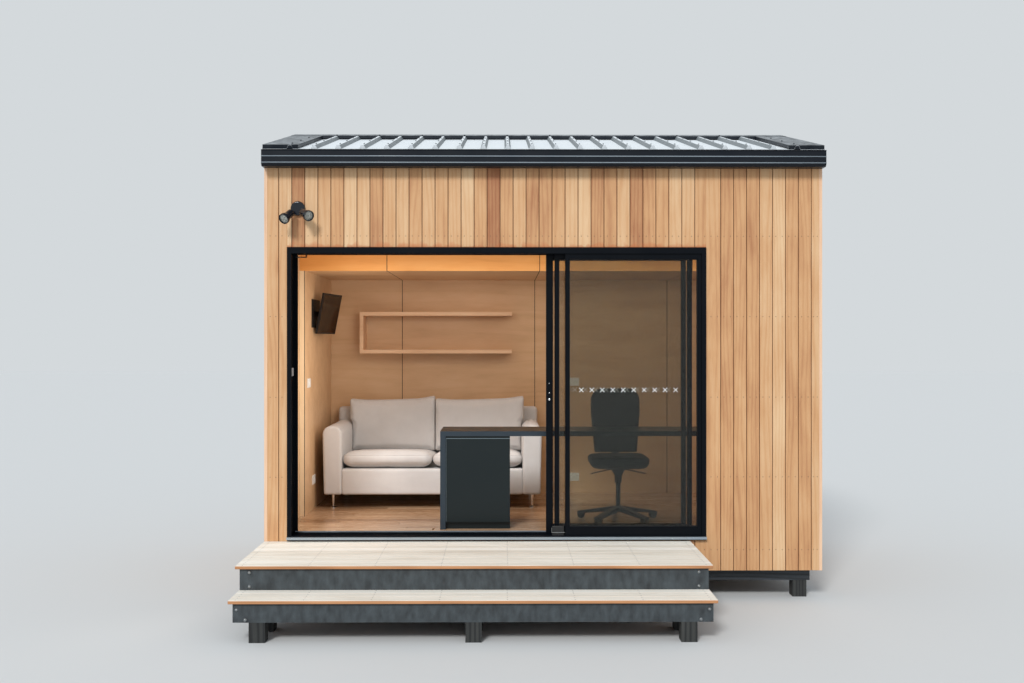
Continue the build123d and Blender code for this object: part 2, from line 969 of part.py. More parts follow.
sofa_rear = liner_y - sofa_rear_gap
sofa_front = sofa_rear - sofa_depth
sofa_right = sofa_left + sofa_width
sofa_bottom = floor_level + sofa_leg
seat_level = sofa_bottom + sofa_base_height
seat_left = sofa_left + sofa_arm_width
seat_right = sofa_right - sofa_arm_width
sofa_back_y = sofa_rear - sofa_back_thickness


def sofa_frame():
    """Upholstered base, a back and two arms that taper towards the floor."""
    arm_top = floor_level + sofa_arm_height
    frame = box(seat_left, seat_right, sofa_front, sofa_rear, sofa_bottom, seat_level)
    for outer, inner, side in ((sofa_left, seat_left, 1), (sofa_right, seat_right, -1)):
        foot = outer + side * sofa_arm_taper
        outline = [(foot, sofa_bottom), (inner, sofa_bottom), (inner, arm_top), (outer, arm_top)]
        arm = prism_y(outline, sofa_front, sofa_rear)
        frame += fillet(arm.edges().filter_by(Axis.Y).sort_by(Axis.Z)[-2:], sofa_arm_round)
    end = sofa_back_inset
    back = box(
        sofa_left + end, sofa_right - end, sofa_back_y, sofa_rear, seat_level, floor_level + sofa_back_height
    )
    return frame + fillet(back.edges().filter_by(Axis.X).sort_by(Axis.Z)[-2:], sofa_back_round)


def cushion_spans():
    """Left and right halves of the seat."""
    middle = (seat_left + seat_right) / 2
    return [
        (seat_left + cushion_side_gap, middle - cushion_gap / 2),
        (middle + cushion_gap / 2, seat_right - cushion_side_gap),
    ]


def seat_cushions():
    """Two seat cushions on the base, with all their edges rounded."""
    rear = sofa_back_y - running_gap
    z0 = seat_level + running_gap
    z1 = z0 + seat_cushion_height
    blocks = [box(x0, x1, sofa_front, rear, z0, z1) for x0, x1 in cushion_spans()]
    return group(fillet(block.edges(), seat_cushion_round) for block in blocks)


def back_cushions():
    """Two back cushions on the seat cushions, which widen above the arms and rest over them."""
    y1 = sofa_back_y - running_gap
    y0 = y1 - back_cushion_thickness
    z0 = seat_level + seat_cushion_height + running_gap * 2
    z1 = z0 + back_cushion_height
    arm_top = floor_level + sofa_arm_height + running_gap
    left, right = cushion_spans()
    cushions = []
    for outer, inner, side in ((left[0], left[1], -1), (right[1], right[0], 1)):
        shoulder = outer + side * back_cushion_shoulder
        outline = [
            (inner, z0),
            (outer, z0),
            (outer, arm_top),
            (shoulder, arm_top + back_cushion_shoulder),
            (shoulder, z1),
            (inner, z1),
        ]
        block = prism_y(outline, y0, y1)
        block = fillet(block.edges().filter_by(Axis.Y).sort_by(Axis.Z)[-2:], back_cushion_round)
        cushions.append(block)
    return group(cushions)


def sofa_feet():
    """Four turned feet: a stem that widens towards the sofa, on a round pad on the floor."""
    outline = [
        (0, 0),
        (sofa_leg_pad, 0),
        (sofa_leg_pad, sofa_leg_pad_height),
        (sofa_leg_foot_radius, sofa_leg_pad_height + sofa_leg_pad_taper),
        (sofa_leg_top_radius, sofa_leg),
        (0, sofa_leg),
    ]
    foot = revolve(make_face(Plane.XZ * Polyline(*outline, close=True)), Axis.Z)
    feet = []
    for x in (sofa_left + sofa_leg_inset, sofa_right - sofa_leg_inset):
        for y in (sofa_front + sofa_leg_inset, sofa_rear - sofa_leg_inset):
            feet.append(Pos(x, y, floor_level) * foot)
    return group(feet)


# Office chair

chair_x = desk_left + chair_offset
chair_y = front_y + chair_setback
chair_seat_top = floor_level + chair_seat_height
chair_seat_bottom = chair_seat_top - chair_seat_thickness
chair_back_y = chair_y + chair_seat_depth / 2


def lean_back(solid):
    """A solid built upright behind the seat, leaned about the seat's rear edge."""
    return Pos(chair_x, chair_back_y, chair_seat_top) * Rot(-chair_back_lean, 0, 0) * solid


def chair_star():
    """Hub and tapered arms, each on a castor."""
    top = floor_level + chair_star_level
    wheel_top = floor_level + chair_castor_radius * 2
    outline = [
        (0, top - chair_star_height),
        (chair_star_reach, wheel_top - chair_star_height / 2),
        (chair_star_reach, wheel_top),
        (chair_hub_radius, top),
        (0, top),
    ]
    arm = prism_y(outline, -chair_star_width / 2, chair_star_width / 2)
    wheel = Rot(90, 0, 0) * Cylinder(chair_castor_radius, chair_castor_width)
    arm += Pos(chair_star_reach - chair_castor_radius, 0, floor_level + chair_castor_radius) * wheel
    star = upright(chair_x, chair_y, top - chair_star_height, top, chair_hub_radius)
    for i in range(chair_star_arms):
        star += Pos(chair_x, chair_y, 0) * Rot(0, 0, 90 + i * 360 / chair_star_arms) * arm
    return star


def chair_frame():
    """Star base, column with its boot, housing with two levers, and the back's post."""
    star_top = floor_level + chair_star_level
    boot = floor_level + chair_boot_level
    housing = chair_seat_bottom - chair_housing_height
    frame = chair_star()
    frame += upright(chair_x, chair_y, star_top, boot, chair_column_radius)
    frame += upright(chair_x, chair_y, boot, housing, chair_boot_radius)
    cone = Cone(chair_boot_radius, chair_housing_radius, chair_housing_height)
    frame += Pos(chair_x, chair_y, chair_seat_bottom - chair_housing_height / 2) * cone
    for side in (-1, 1):
        root = Vector(chair_x, chair_y, chair_seat_bottom - chair_lever_radius * 2)
        end = Vector(
            chair_x + side * chair_lever_reach, chair_y, chair_seat_bottom - chair_lever_drop
        )
        frame += rod(root, end, chair_lever_radius)
    half = chair_post_width / 2
    rear = chair_back_y + chair_post_thickness
    under = chair_seat_bottom - chair_post_thickness
    frame += box(chair_x - half, chair_x + half, chair_y, rear, under, chair_seat_bottom)
    # An upright knee joins the level arm to the leaned post; what reaches into the pad is cut away.
    knee_top = chair_seat_top + chair_post_thickness
    knee = box(chair_x - half, chair_x + half, chair_back_y, rear, under, knee_top)
    drop = under - chair_seat_top
    pad_side = lean_back(box(-half, half, -chair_back_thickness, 0, drop, chair_post_height))
    frame += knee - pad_side
    return frame + lean_back(box(-half, half, 0, chair_post_thickness, 0, chair_post_height))


def chair_seat():
    """Seat pad with round corners, rounder below than above."""
    half_x = chair_seat_width / 2
    half_y = chair_seat_depth / 2
    pad = box(
        chair_x - half_x, chair_x + half_x, chair_y - half_y, chair_y + half_y,
        chair_seat_bottom, chair_seat_top,
    )
    pad = fillet(pad.edges().filter_by(Axis.Z), chair_seat_corner)
    pad = fillet(pad.edges().group_by(Axis.Z)[-1], chair_seat_top_round)
    return fillet(pad.edges().group_by(Axis.Z)[0], chair_seat_under_round)


def chair_back():
    """Back pad, narrower at its foot, with a round top, in front of its post."""
    half = chair_back_width / 2
    foot = chair_back_foot_width / 2
    outline = [
        (-foot, running_gap),
        (foot, running_gap),
        (half, chair_back_shoulder),
        (half, chair_back_height),
        (-half, chair_back_height),
        (-half, chair_back_shoulder),
    ]
    pad = prism_y(outline, -chair_back_thickness, 0)
    pad = fillet(pad.edges().filter_by(Axis.Y).sort_by(Axis.Z)[-2:], chair_back_corner)
    return lean_back(fillet(pad.faces().sort_by(Axis.Y)[0].edges(), chair_back_round))


# Screen


def wall_screen():
    """Thin screen with a deeper back, an arm and a wall plate."""
    half_y = screen_width / 2 - screen_bezel
    half_z = screen_height / 2 - screen_bezel
    back_x = -screen_thickness - screen_back_depth
    panel = box(
        -screen_thickness, 0, -screen_width / 2, screen_width / 2, -screen_height / 2, screen_height / 2
    )
    panel -= box(-screen_recess, 0, -half_y, half_y, -half_z, half_z)
    panel += box(
        back_x, -screen_thickness, -screen_back_width / 2, screen_back_width / 2,
        -screen_back_height / 2, screen_back_height / 2,
    )
    turned = Rot(0, 0, -screen_turn) * Rot(0, screen_lean, 0) * panel
    low = turned.bounding_box().min
    place = Vector(
        -liner_x + screen_wall_gap - low.X, front_y + screen_setback - low.Y, screen_level - low.Z
    )
    screen = Pos(*place) * turned
    half = screen_arm / 2
    screen += box(
        -liner_x, place.X - screen_thickness, place.Y - half, place.Y + half, place.Z - half, place.Z + half
    )
    start = front_y + screen_plate_setback
    return screen + box(
        -liner_x, -liner_x + screen_plate_thickness, start, start + screen_plate_width,
        place.Z - screen_plate_height / 2, place.Z + screen_plate_height / 2,
    )


pieces = {
    "ground_stumps": ground_stumps(),
    "bearers": bearers(),
    "floor_rims": floor_rims(),
    "floor_joists": floor_joists(),
    "floor_boards": floor_boards(),
    "wall_left": side_wall(-1),
    "wall_right": side_wall(1),
    "wall_rear": long_wall(-room_x, room_x, rear_room_y, rear_core_y, plate_level),
    "wall_beside_door": group([
        front_wall(-room_x, door_left, plate_level), front_wall(door_right, room_x, plate_level)
    ]),
    "wall_over_door": front_wall(door_left, door_right, door_top),
    "cladding_sides": group([side_cladding(-1), side_cladding(1)]),
    "cladding_rear": long_cladding(
        -half_width + corner_trim_size, half_width - corner_trim_size, rear_core_y, skirt_level
    ),
    "cladding_front": group([
        long_cladding(-half_width + corner_trim_size, door_left, front_y, skirt_level),
        long_cladding(door_right, half_width - corner_trim_size, front_y, skirt_level),
    ]),
    "cladding_door_bay": door_bay_cladding(),
    "corner_trims": corner_trims(),
    "lining_left": side_lining(-1),
    "lining_right": side_lining(1),
    "lining_rear": rear_lining(),
    "lining_front": front_lining(),
    "ceiling_bulkhead": ceiling_bulkhead(),
    "ceiling_lining": ceiling_lining(),
    "rafters": rafters(),
    "ridge_beam": ridge_beam(),
    "roof_battens": roof_battens(),
    "roof_sheets": group([roof_sheet(-1), roof_sheet(1)]),
    "ridge_cap": ridge_cap(),
    "barge_caps": group([barge_cap(-1), barge_cap(1)]),
    "gutters": group([gutter(-1), gutter(1)]),
    "door_head": door_head(),
    "door_sill": door_sill(),
    "door_subsill": door_subsill(),
    "door_jambs": group([door_jamb(-1), door_jamb(1)]),
    "fixed_panel": leaf_frame(fixed_left, fixed_width, fixed_y, stile_width, False),
    "fixed_glass": leaf_glass(fixed_left, fixed_width, fixed_y, stile_width),
    "middle_leaf": leaf_frame(middle_left, middle_width, middle_y, stile_width, True),
    "middle_glass": leaf_glass(middle_left, middle_width, middle_y, stile_width),
    "inner_leaf": leaf_frame(inner_left, inner_width, inner_y, lock_stile_width, True),
    "inner_glass": leaf_glass(inner_left, inner_width, inner_y, lock_stile_width),
    "inner_handle": inner_handle(),
    "deck_boards": group(deck_boards() + step_boards()),
    "deck_rims": deck_rims(),
    "deck_joists": deck_joists(),
    "light_base": light_base(),
    "light_head_left": light_head(-1, light_left_aim),
    "light_head_right": light_head(1, light_right_aim),
    "wall_shelf": wall_shelf(),
    "desk_top": desk_top(),
    "desk_pedestal": desk_pedestal(),
    "sofa_frame": sofa_frame(),
    "sofa_seat_cushions": seat_cushions(),
    "sofa_back_cushions": back_cushions(),
    "sofa_feet": sofa_feet(),
    "chair_frame": chair_frame(),
    "chair_seat": chair_seat(),
    "chair_back": chair_back(),
    "wall_screen": wall_screen(),
}

os.makedirs("parts", exist_ok=True)
for name, piece in pieces.items():
    export_step(piece, f"parts/{name}.step")
print(len(pieces), "pieces; door travel", middle_travel, inner_travel)
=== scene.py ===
# %% [markdown]
# This lesson dresses a garden office pod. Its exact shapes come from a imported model, which is loaded
# first as a fixed frame. Sizes are read from that frame or are given in metres, so each new piece
# lands where the real one would sit.

# %% load the frame
import bmesh
import bpy
import itertools
import numpy as np
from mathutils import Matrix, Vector
from mathutils.bvhtree import BVHTree


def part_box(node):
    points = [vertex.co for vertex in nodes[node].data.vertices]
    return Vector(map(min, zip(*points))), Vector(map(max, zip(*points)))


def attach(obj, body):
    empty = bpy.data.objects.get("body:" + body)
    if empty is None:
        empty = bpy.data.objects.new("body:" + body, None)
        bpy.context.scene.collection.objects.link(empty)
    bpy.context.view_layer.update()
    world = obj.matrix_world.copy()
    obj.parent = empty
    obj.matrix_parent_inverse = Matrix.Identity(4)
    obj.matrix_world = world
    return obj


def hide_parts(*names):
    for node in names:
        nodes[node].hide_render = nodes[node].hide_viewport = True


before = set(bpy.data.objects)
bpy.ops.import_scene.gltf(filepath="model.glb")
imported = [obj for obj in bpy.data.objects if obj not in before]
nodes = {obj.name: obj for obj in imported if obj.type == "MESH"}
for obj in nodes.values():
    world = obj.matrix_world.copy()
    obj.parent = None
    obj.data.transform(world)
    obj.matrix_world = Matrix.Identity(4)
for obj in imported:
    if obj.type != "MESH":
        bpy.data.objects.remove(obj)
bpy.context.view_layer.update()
print("frame:", len(nodes), "nodes")

# %% [markdown]
# A photograph of a flat front is a one-point perspective: lines that run into the room meet at one
# point of the picture. That point, the width of the front in pixels and its real width give the
# camera's place and focal length. The camera looks level, turned half a degree to the right.

# %% camera
IMAGE_WIDTH = 1024
FOCAL_PIXELS = 1120.0
SENSOR_WIDTH = 36.0
CAMERA_PLACE = (-0.298, -8.738, 1.861)
CAMERA_TURN = -0.49


def link(thing):
    """Put an object in the scene."""
    bpy.context.scene.collection.objects.link(thing)
    return thing


camera_data = bpy.data.cameras.new("camera")
camera_data.sensor_width = SENSOR_WIDTH
camera_data.lens = FOCAL_PIXELS / IMAGE_WIDTH * SENSOR_WIDTH
camera = link(bpy.data.objects.new("camera", camera_data))
camera.location = CAMERA_PLACE
camera.rotation_euler = np.radians((90, 0, CAMERA_TURN))
bpy.context.scene.camera = camera
print("camera lens", round(camera_data.lens, 2), "mm")

# %% [markdown]
# Colours are easiest to choose as they look on a screen, from 0 to 255, but a renderer adds up light,
# which needs linear values. This helper turns the first into the second.

# %% colours
LINEAR_LIMIT = 0.04045
LINEAR_SLOPE = 12.92
GAMMA_OFFSET = 0.055
GAMMA = 2.4


def screen_colour(red, green, blue):
    """Linear colour of a screen colour: c / 12.92 when dark, else ((c + 0.055) / 1.055) ** 2.4."""
    c = np.array([red, green, blue]) / 255
    bright = ((c + GAMMA_OFFSET) / (1 + GAMMA_OFFSET)) ** GAMMA
    return (*np.where(c <= LINEAR_LIMIT, c / LINEAR_SLOPE, bright), 1.0)


print("mid grey is", round(screen_colour(128, 128, 128)[0], 3))

# %% [markdown]
# A material is a small network of nodes. These helpers add a node with its settings in one line, in
# the tree of the sockets that it uses, so that each finish below reads as a recipe: where the pattern
# is, what it does to the colour, the roughness and the relief.

# %% node helpers
def feed(inputs, values):
    """Link or set inputs by name or number."""
    for key, value in values.items():
        if isinstance(value, bpy.types.NodeSocket):
            inputs[key].id_data.links.new(value, inputs[key])
        else:
            inputs[key].default_value = value


def add_node(kind, inputs=None, tree=None, **options):
    """Add one shader node, set its options and inputs, and give its outputs."""
    inputs = inputs or {}
    tree = tree or next(v.id_data for v in inputs.values() if isinstance(v, bpy.types.NodeSocket))
    made = tree.nodes.new("ShaderNode" + kind)
    for option, value in options.items():
        setattr(made, option, value)
    feed(made.inputs, inputs)
    return made.outputs


def calc(operation, *values):
    """Result of one Math node."""
    return add_node("Math", dict(enumerate(values)), operation=operation)[0]


def scaled(place, scale):
    """A place multiplied by three factors."""
    return add_node("VectorMath", {0: place, 1: scale}, operation="MULTIPLY")[0]


def mix_colour(factor, first, second):
    """Colour between two colours."""
    return add_node("Mix", {0: factor, 6: first, 7: second}, data_type="RGBA")[2]


def remap(value, low, high, new_low=0.0, new_high=1.0):
    """A value carried from one range to another and held inside it."""
    return add_node("MapRange", {0: value, 1: low, 2: high, 3: new_low, 4: new_high})[0]


def noise(place, scale, detail=2.0):
    """Soft random value from 0 to 1."""
    return add_node("TexNoise", {"Vector": place, "Scale": scale, "Detail": detail})[0]


def axes(vector):
    """The three parts of a vector."""
    return add_node("SeparateXYZ", {0: vector})


def facing(tree):
    """Parts of the direction that a face looks in."""
    return axes(add_node("NewGeometry", tree=tree)["Normal"])


def new_group(name, numbers, colours):
    """A node group from Vector, colours and numbers to Color, Roughness and Height."""
    tree = bpy.data.node_groups.new(name, "ShaderNodeTree")
    tree.interface.new_socket("Vector", in_out="INPUT", socket_type="NodeSocketVector")
    for label in colours:
        tree.interface.new_socket(label, in_out="INPUT", socket_type="NodeSocketColor")
    for label, default in numbers.items():
        socket = tree.interface.new_socket(label, in_out="INPUT", socket_type="NodeSocketFloat")
        socket.default_value = default
    for label, kind in (("Color", "Color"), ("Roughness", "Float"), ("Height", "Float")):
        tree.interface.new_socket(label, in_out="OUTPUT", socket_type="NodeSocket" + kind)
    return tree, tree.nodes.new("NodeGroupInput").outputs, tree.nodes.new("NodeGroupOutput").inputs


def new_finish(name, **plain):
    """A material with one Principled shader: gives it, its inputs and its object coordinates."""
    material = bpy.data.materials.new(name)
    material.use_nodes = True
    paint = material.node_tree.nodes["Principled BSDF"].inputs
    feed(paint, {socket.replace("_", " "): value for socket, value in plain.items()})
    return material, paint, add_node("TexCoord", tree=material.node_tree)["Object"]


def coat(paint, colour, roughness, height, depth):
    """Link a pattern to a shader, with its height as a bump of a given depth in metres."""
    bump = add_node("Bump", {"Height": height, "Distance": depth})[0]
    feed(paint, {"Base Color": colour, "Roughness": roughness, "Normal": bump})


print("node helpers ready")

# %% [markdown]
# Many pieces of a building are the same few shapes again and again: boards, nails, tubes. Each shape
# is made once as a small template of points, and numpy copies it to all its places in one step. The
# template of a board is a box whose edges are cut back a little, because no real edge is a knife edge
# and the small slant is what catches the light.

# %% meshes from arrays
def link_piece(name, mesh, material, body="root", slot=None, smooth=False):
    """Put a finished mesh in the scene with its material and its body; its slot argument is not used."""
    piece = link(bpy.data.objects.new(name, mesh))
    mesh.materials.append(material)
    mesh.polygons.foreach_set("use_smooth", np.full(len(mesh.polygons), smooth))
    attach(piece, body)
    return piece


def mesh_from(name, points, faces):
    """A mesh from an array of points and a list of faces."""
    mesh = bpy.data.meshes.new(name)
    mesh.from_pydata(np.reshape(points, (-1, 3)).tolist(), [], faces)
    mesh.validate()
    mesh.update()
    return mesh


def clean(mesh, weld=False, soften=0):
    """Weld grids that share edges, move points halfway to their neighbours, and turn faces outwards."""
    work = bmesh.new()
    work.from_mesh(mesh)
    if weld:
        bmesh.ops.remove_doubles(work, verts=work.verts, dist=1e-5)
    for _ in range(soften):
        bmesh.ops.smooth_vert(work, verts=work.verts, factor=0.5,
                              use_axis_x=True, use_axis_y=True, use_axis_z=True)
    bmesh.ops.recalc_face_normals(work, faces=work.faces)
    work.to_mesh(mesh)
    work.free()
    return mesh


def repeat_faces(faces, count, stride):
    """The template's faces, once for each copy, with the point numbers moved on by the stride."""
    return [tuple(i + n * stride for i in face) for n in range(count) for face in faces]


def block_template():
    """Signs and insets of the 24 points of a box with cut-back edges, and its 26 faces.

    A corner gives three points, one on each face that meets there: point k keeps the full distance
    along axis k and is inset along the other two.
    """
    corners = list(itertools.product((-1, 1), repeat=3))
    number = {corner: 3 * i for i, corner in enumerate(corners)}
    signs, insets = np.repeat(np.array(corners, float), 3, axis=0), np.tile(1 - np.eye(3), (8, 1))
    faces = [[i, i + 1, i + 2] for i in range(0, 24, 3)]
    for k in range(3):
        a, b = (k + 1) % 3, (k + 2) % 3
        edges = {}
        for p, q in ((-1, -1), (1, -1), (1, 1), (-1, 1)):
            for side in (-1, 1):
                edges[side, p, q] = number[tuple(np.roll((side, p, q), k).tolist())]
            first, second = edges[-1, p, q], edges[1, p, q]
            faces.append([first + a, second + a, second + b, first + b])
        faces += [[start + k for (side, _, _), start in edges.items() if side == end] for end in (-1, 1)]
    unit_box = signs * (1 - 0.1 * insets)
    outwards = []
    for face in faces:
        p = unit_box[face]
        normal = np.cross(p[1] - p[0], p[2] - p[0])
        outwards.append(face if normal @ p.mean(0) > 0 else face[::-1])
    return signs, insets, outwards


SIGNS, INSETS, BLOCK_FACES = block_template()


def block_points(low, high, edge):
    """Points of many blocks: centre + sign * (half size - inset * edge)."""
    low, high = np.atleast_2d(low), np.atleast_2d(high)
    centre, half = (low + high) / 2, (high - low) / 2
    return centre[:, None] + SIGNS * (half[:, None] - INSETS * edge)


def block_mesh(name, points):
    """The mesh of many blocks."""
    return mesh_from(name, points, repeat_faces(BLOCK_FACES, points.size // SIGNS.size, len(SIGNS)))


def blocks(name, spans, edge, material, tones=None, shape=None, **more):
    """Blocks from (low, high) corners, each with its tone as a point attribute, and a last shape change."""
    points = block_points(*np.swapaxes(np.array(spans, float), 0, 1), edge)
    mesh = block_mesh(name, shape(points) if shape else points)
    if tones is not None:
        layer = mesh.attributes.new("tone", "FLOAT", "POINT")
        layer.data.foreach_set("value", np.repeat(np.asarray(tones, np.float32), len(SIGNS)))
    return link_piece(name, mesh, material, **more)


print("a block has", len(SIGNS), "points and", len(BLOCK_FACES), "faces")

# %% [markdown]
# Round things are a profile turned about a line: each point of the profile has a radius and a height.
# A tube is a circle carried along a path. Both are grids of points, one direction round and one along.

# %% turned pieces and tubes
TUBE_HELPER = (0.31, 0.17, 0.94)


def grid_faces(rows, columns, wrap_rows=False, wrap_columns=True):
    """Four-cornered faces of a grid of points, closed round its columns or rows on request."""
    i = np.arange(rows if wrap_rows else rows - 1)[:, None]
    j = np.arange(columns if wrap_columns else columns - 1)[None, :]
    i2, j2 = (i + 1) % rows, (j + 1) % columns
    quads = np.stack([i * columns + j, i * columns + j2, i2 * columns + j2, i2 * columns + j], -1)
    return quads.reshape(-1, 4).tolist()


def unit(vector):
    """Vectors of length one."""
    vector = np.asarray(vector, float)
    return vector / np.linalg.norm(vector, axis=-1, keepdims=True)


def circle(w, helper, around):
    """u cos t + v sin t at even steps t, with u and v square to w and to each other."""
    u = unit(np.cross(helper, w))
    v = np.cross(w, u)
    t = np.linspace(0, 2 * np.pi, around, endpoint=False)[:, None]
    return np.cos(t) * u[..., None, :] + np.sin(t) * v[..., None, :]


def turned(name, profile, centres, direction, material, around=24, **more):
    """Turned pieces in one mesh: centre + radius * circle + height * direction, closed at both ends."""
    w = unit(direction)
    radius, height = np.array(profile, float).T[..., None, None]
    one = radius * circle(w, np.eye(3)[np.argmin(np.abs(w))], around) + height * w
    size = len(profile) * around
    faces = grid_faces(len(profile), around) + [range(around)[::-1], range(size - around, size)]
    points = np.atleast_2d(centres)[:, None] + one.reshape(-1, 3)
    mesh = mesh_from(name, points, repeat_faces(faces, len(points), size))
    return link_piece(name, mesh, material, **{"smooth": True, **more})


def tube(name, path, radius, material, closed=False, around=8, **more):
    """A circle carried along a path: path + radius * circle."""
    path = np.asarray(path, float)
    step = np.roll(path, -1, 0) - np.roll(path, 1, 0) if closed else np.gradient(path, axis=0)
    w = unit(step)
    points = path[:, None] - radius * circle(w, TUBE_HELPER, around)
    size = len(path) * around
    faces = grid_faces(len(path), around, wrap_rows=closed)
    if not closed:
        faces += [range(around), range(size - around, size)[::-1]]
    return link_piece(name, clean(mesh_from(name, points, faces)), material, **{"smooth": True, **more})


print("helpers ready: blocks, turned, tube")

# %% [markdown]
# The studio is a large pale floor, an even sky that lights from all round, a broad sun for gentle
# shadows, and four soft panels in the room, which would be a dark box under its roof. The camera,
# mirrors and glass see a pale backdrop, while the light on the object keeps its own strength.

# %% studio
FLOOR_SPAN = 120.0
SKY_STRENGTH = 0.78
BACKDROP = screen_colour(212, 217, 220)
SKY = screen_colour(232, 240, 248)
SUN_STRENGTH = 2.1
SUN_ANGLE = 14.0
SUN_TURN = (52, 8, -24)
ROOM_LAMP = screen_colour(255, 246, 236)
PANELS = (
    ("room_panel", (0.0, -0.30, 2.30), (3.2, 0.5), 15, (32, 0, 0)),
    ("rear_panel", (0.0, 1.0, 2.38), (3.2, 0.8), 4, (0, 0, 0)),
    ("side_panel", (-1.05, -0.12, 1.50), (1.1, 0.5), 9, (0, 90, 0)),
    ("bulkhead_panel", (0.0, -0.42, 2.62), (3.2, 0.2), 2.9, (90, 0, 0)))


def add_floor():
    """One square on the ground that isn't part of the object."""
    square = np.array([(-1, -1, 0), (1, -1, 0), (1, 1, 0), (-1, 1, 0)]) * FLOOR_SPAN / 2
    floor = link(bpy.data.objects.new("studio_floor", mesh_from("studio_floor", square, [(0, 1, 2, 3)])))
    pale = new_finish("studio_floor", Base_Color=screen_colour(206, 207, 206), Roughness=0.9)[0]
    floor.data.materials.append(pale)


def add_sky():
    """World that lights with one colour and shows another to camera, mirror and glass rays."""
    world = bpy.context.scene.world = bpy.data.worlds.new("studio")
    world.use_nodes = True
    tree = world.node_tree
    tree.nodes.clear()
    rays = add_node("LightPath", tree=tree)
    direct = calc("MAXIMUM", rays["Is Camera Ray"], rays["Is Glossy Ray"])
    direct = calc("MAXIMUM", direct, rays["Is Transmission Ray"])
    light = add_node("Background", {"Color": SKY, "Strength": SKY_STRENGTH}, tree)[0]
    seen = add_node("Background", {"Color": BACKDROP}, tree)[0]
    add_node("OutputWorld", {"Surface": add_node("MixShader", {0: direct, 1: light, 2: seen})[0]})


def add_light(name, kind, energy, turn, place=(0, 0, 0), **options):
    """One lamp, which shines down unless it is turned."""
    data = bpy.data.lights.new(name, kind)
    for option, value in {"energy": energy, **options}.items():
        setattr(data, option, value)
    lamp = link(bpy.data.objects.new(name, data))
    lamp.location = place
    lamp.rotation_euler = np.radians(turn)
    return lamp


add_floor()
add_sky()
add_light("sun", "SUN", SUN_STRENGTH, SUN_TURN, angle=np.radians(SUN_ANGLE))
for name, place, (width, depth), watts, turn in PANELS:
    panel = add_light(name, "AREA", watts, turn, place, shape="RECTANGLE", size=width, size_y=depth,
                      color=ROOM_LAMP[:3])
    panel.visible_camera = panel.visible_glossy = panel.visible_transmission = False
bpy.context.scene.view_settings.view_transform = "Standard"
print("studio: sun", SUN_STRENGTH, "sky", SKY_STRENGTH)

# %% [markdown]
# Wood is the finish that this object shows most. Sawn along its length, a trunk's year rings become
# long wavy stripes, with fine pores that run the same way. The group stretches its patterns along the
# grain: a wave bent by noise gives the rings, fine noise the pores, and broad noise the slow change
# of colour. A tone from 0 to 1 belongs to a whole board and moves it between dark, middle and pale.

# %% wood group
RING_STRETCH = 0.10
RING_REACH = 0.8
RING_SHARPNESS = 2.6
RINGS_PER_METRE = 190.0
RING_BEND = 26.0
BEND_SCALE = 7.0
PORE_STRETCH = 0.03
PORE_SCALE = 420.0
PATCH_STRETCH = 0.3
PATCH_SCALE = 7.0
KNOT_STRETCH = 0.4
KNOT_SCALE = 2.3
BOARD_SHIFT = (37.0, 53.0, 71.0)
JOINT_PAINTED_SHADE = screen_colour(98, 58, 34)
USUAL_NOISE = (0.3, 0.7)


def year_rings(place, ring_size):
    """A sine of the distance across the grain, bent by noise and sharpened by a power."""
    parts = axes(place)
    across = calc("ADD", parts[0], calc("MULTIPLY", parts[1], RING_REACH))
    phase = calc("MULTIPLY", across, calc("DIVIDE", RINGS_PER_METRE, ring_size))
    phase = calc("ADD", phase, calc("MULTIPLY", noise(place, BEND_SCALE, 1.0), RING_BEND))
    return calc("POWER", calc("MULTIPLY_ADD", calc("SINE", phase), 0.5, 0.5), RING_SHARPNESS)


def wood_group():
    """Colour, roughness and relief of wood whose grain runs along the Z of the vector it gets."""
    numbers = {"Tone": 0.5, "Ring Size": 1.0, "Figure": 0.4, "Knots": 0.0, "Roughness": 0.5}
    tree, given, result = new_group("wood_grain", numbers, ("Dark", "Middle", "Pale"))
    shift = add_node("VectorMath", {0: BOARD_SHIFT, "Scale": given["Tone"]}, operation="SCALE")[0]
    place = add_node("VectorMath", {0: given["Vector"], 1: shift}, operation="ADD")[0]
    rings = year_rings(scaled(place, (1, 1, RING_STRETCH)), given["Ring Size"])
    pores = noise(scaled(place, (1, 1, PORE_STRETCH)), PORE_SCALE, 3.0)
    patches = noise(scaled(place, (1, 1, PATCH_STRETCH)), PATCH_SCALE)
    tone = calc("ADD", given["Tone"], remap(patches, *USUAL_NOISE, -0.16, 0.16))
    tone = calc("SUBTRACT", tone, calc("MULTIPLY", calc("SUBTRACT", rings, 0.5), given["Figure"]))
    tone = calc("ADD", tone, remap(pores, *USUAL_NOISE, -0.09, 0.09))
    colour = mix_colour(remap(tone, 0.0, 0.5), given["Dark"], given["Middle"])
    colour = mix_colour(remap(tone, 0.5, 1.0), colour, given["Pale"])
    knot = {"Vector": scaled(place, (1, 1, KNOT_STRETCH)), "Scale": KNOT_SCALE}
    knot = remap(add_node("TexVoronoi", knot)["Distance"], 0.02, 0.075, 1.0, 0.0)
    colour = mix_colour(calc("MULTIPLY", knot, given["Knots"]), colour, given["Dark"])
    # Tones from -1 to -0.5 mix to a dark brown: painted shade of the narrow groove on the lap strips.
    colour = mix_colour(remap(given["Tone"], -1.0, -0.5, 1.0, 0.0), colour, JOINT_PAINTED_SHADE)
    rough = calc("ADD", given["Roughness"], remap(pores, *USUAL_NOISE, -0.07, 0.07))
    feed(result, {"Color": colour, "Roughness": rough, "Height": calc("MULTIPLY_ADD", rings, 0.4, pores)})
    return tree


WOOD = wood_group()
print("wood group has", len(WOOD.nodes), "nodes")

# %% [markdown]
# The cladding is oiled cedar-like timber. No two boards match: some are honey, some reddish, a few
# nearly cream. Each board carries its own tone as an attribute of its points, so one material makes
# them all different. Grain runs up the wall, so the coordinates are used as they are. Rain marks the
# boards over the door, which get a stain that fades upwards.

